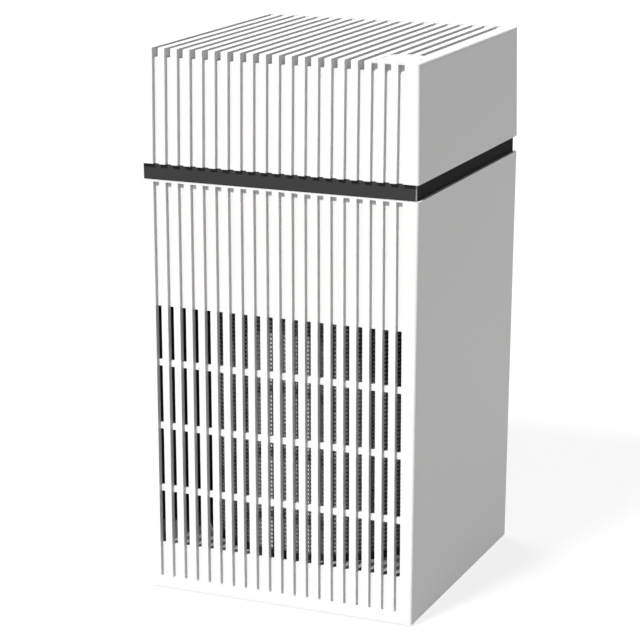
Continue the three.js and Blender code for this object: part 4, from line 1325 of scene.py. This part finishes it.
class PURIFIER_OT_filter(bpy.types.Operator):
    """Builds the filter cartridge: net, pleated paper, carbon, caps, seal and pull tab"""

    bl_idname = "purifier.filter"
    bl_label = "Filter"

    def execute(self, context):
        sizes = context.scene.purifier_filter
        bottom = ring_cap("filter_bottom_cap", 0, True)
        top = ring_cap("filter_top_cap", 55 * MM, False)
        felt = sleeve("filter_carbon_layer", 56 * MM, 0.5 * MM)
        seal = sleeve("filter_seal", 66 * MM, 0.8 * MM, 3)
        for bm, name, finish, slot, node in (
            (filter_net(sizes), "sleeve_net", "net strand", "filter_net", "filter_net"),
            (pleated_ring(sizes), "pleated_paper", "filter paper", "filter_paper", "filter_media"),
            (bottom, "cap_bottom", "black plastic", "black_plastic", "filter_bottom_cap"),
            (top, "cap_top", "black plastic", "black_plastic", "filter_top_cap"),
            (seal, "foam_seal", "seal foam", "foam", "filter_seal"),
            (felt, "carbon_sleeve", "carbon felt", "carbon_felt", "filter_carbon_layer"),
            (pull_tab(), "pull_tab", "black plastic", "black_plastic", "filter_pull_tab"),
        ):
            piece = place_piece(context, bm, name, [finish], "cartridge", slot, node)
            slot == "foam"
        return {"FINISHED"}


# ---- Inside ----

INSIDE = {
    "fan charcoal": ["fan_deck", "fan_duct", "impeller", "motor_mount", "motor_rotor"],
    "black plastic": ["control_cup", "tact_switch", "inlet_guard", "motor_cap", "board_holder"],
    "foot rubber": ["supply_lead", "motor_lead"],
    "circuit board": ["control_board", "main_board"],
    "copper windings": ["motor_stator"],
    "turned steel": [
        "motor_can", "motor_shaft", "impeller_nut", "bearing_lower", "bearing_upper",
        *(screw for group in SCREWS.values() for screw in group),
    ],
}


class PURIFIER_OT_inside(bpy.types.Operator):
    """Gives the fan, motor, boards, leads and screws their finishes"""

    bl_idname = "purifier.inside"
    bl_label = "Inside"

    def execute(self, context):
        for name, nodes in INSIDE.items():
            for node in nodes:
                materials = frame["nodes"][node].data.materials
                materials.clear()
                materials.append(finish_of(context, name))
        return {"FINISHED"}


# ---- Stage ----

KEY_WIDTH = math.radians(9)
KEY_SHINES = Vector((0.18, 0.6, -0.78))
RIM_WIDTH = math.radians(40)
RIM_SHINES = Vector((0.62, -0.35, -0.7))


class PURIFIER_OT_stage(bpy.types.Operator):
    """Sets up the pale floor, the soft light and the camera"""

    bl_idname = "purifier.stage"
    bl_label = "Stage"

    def execute(self, context):
        stage = context.scene.purifier_stage
        scene = context.scene
        floor = bmesh.new()
        bmesh.ops.create_circle(floor, segments=96, radius=6, cap_ends=True)
        mesh = mesh_of("studio_floor", floor)
        mesh.materials.append(finish_of(context, "studio floor"))
        ground = linked("studio_floor", mesh)
        ground.location.z = CAD_BOX[0].z - 0.2 * MM

        for name, energy, width, shines in (
            ("key", stage.key, KEY_WIDTH, KEY_SHINES),
            ("rim", stage.rim, RIM_WIDTH, RIM_SHINES),
        ):
            light = bpy.data.lights.new(name, "SUN")
            light.energy = energy
            light.angle = width
            lamp = linked(name, light)
            lamp.rotation_mode = "QUATERNION"
            lamp.rotation_quaternion = shines.to_track_quat("-Z", "Y")

        world = bpy.data.worlds.new("surroundings")
        world.use_nodes = True
        around = world.node_tree.nodes["Background"].inputs
        around["Color"].default_value = (1, 1, 1, 1)
        around["Strength"].default_value = stage.fill
        scene.world = world

        lens = bpy.data.cameras.new("camera")
        lens.lens = stage.lens
        lens.clip_start = 0.05
        camera = linked("camera", lens)
        across = math.cos(stage.elevation)
        back = Vector(
            (
                math.sin(stage.azimuth) * across,
                -math.cos(stage.azimuth) * across,
                math.sin(stage.elevation),
            )
        )
        camera.location = Vector((0, stage.aim_y, stage.aim_z)) + back * stage.distance
        camera.rotation_mode = "QUATERNION"
        camera.rotation_quaternion = (-back).to_track_quat("-Z", "Y")
        scene.camera = camera
        scene.view_settings.view_transform = "Standard"
        return {"FINISHED"}


class PURIFIER_PT_panel(bpy.types.Panel):
    """Lists the purifier's build steps"""

    bl_idname = "PURIFIER_PT_panel"
    bl_label = "Air purifier"
    bl_space_type = "VIEW_3D"
    bl_region_type = "UI"
    bl_category = "Purifier"

    def draw(self, context):
        for step in STEPS:
            self.layout.operator(step.bl_idname)


SETTINGS = {
    "purifier_case": CaseSizes,
    "purifier_control": ControlSizes,
    "purifier_filter": FilterSizes,
    "purifier_colours": Colours,
    "purifier_stage": StageSizes,
}
STEPS = (
    PURIFIER_OT_stage,
    PURIFIER_OT_lower_case,
    PURIFIER_OT_top_cover,
    PURIFIER_OT_band,
    PURIFIER_OT_control,
    PURIFIER_OT_base,
    PURIFIER_OT_filter,
    PURIFIER_OT_inside,
)
CLASSES = (*SETTINGS.values(), *STEPS, PURIFIER_PT_panel)


def register():
    for cls in CLASSES:
        bpy.utils.register_class(cls)
    for name, group in SETTINGS.items():
        setattr(bpy.types.Scene, name, bpy.props.PointerProperty(type=group))


def unregister():
    for name in SETTINGS:
        delattr(bpy.types.Scene, name)
    for cls in reversed(CLASSES):
        bpy.utils.unregister_class(cls)


def main():
    register()
    bpy.ops.purifier.stage()
    bpy.ops.purifier.lower_case()
    bpy.ops.purifier.top_cover()
    bpy.ops.purifier.band()
    bpy.ops.purifier.control()
    bpy.ops.purifier.base()
    bpy.ops.purifier.filter()
    bpy.ops.purifier.inside()


if __name__ == "__main__":
    main()
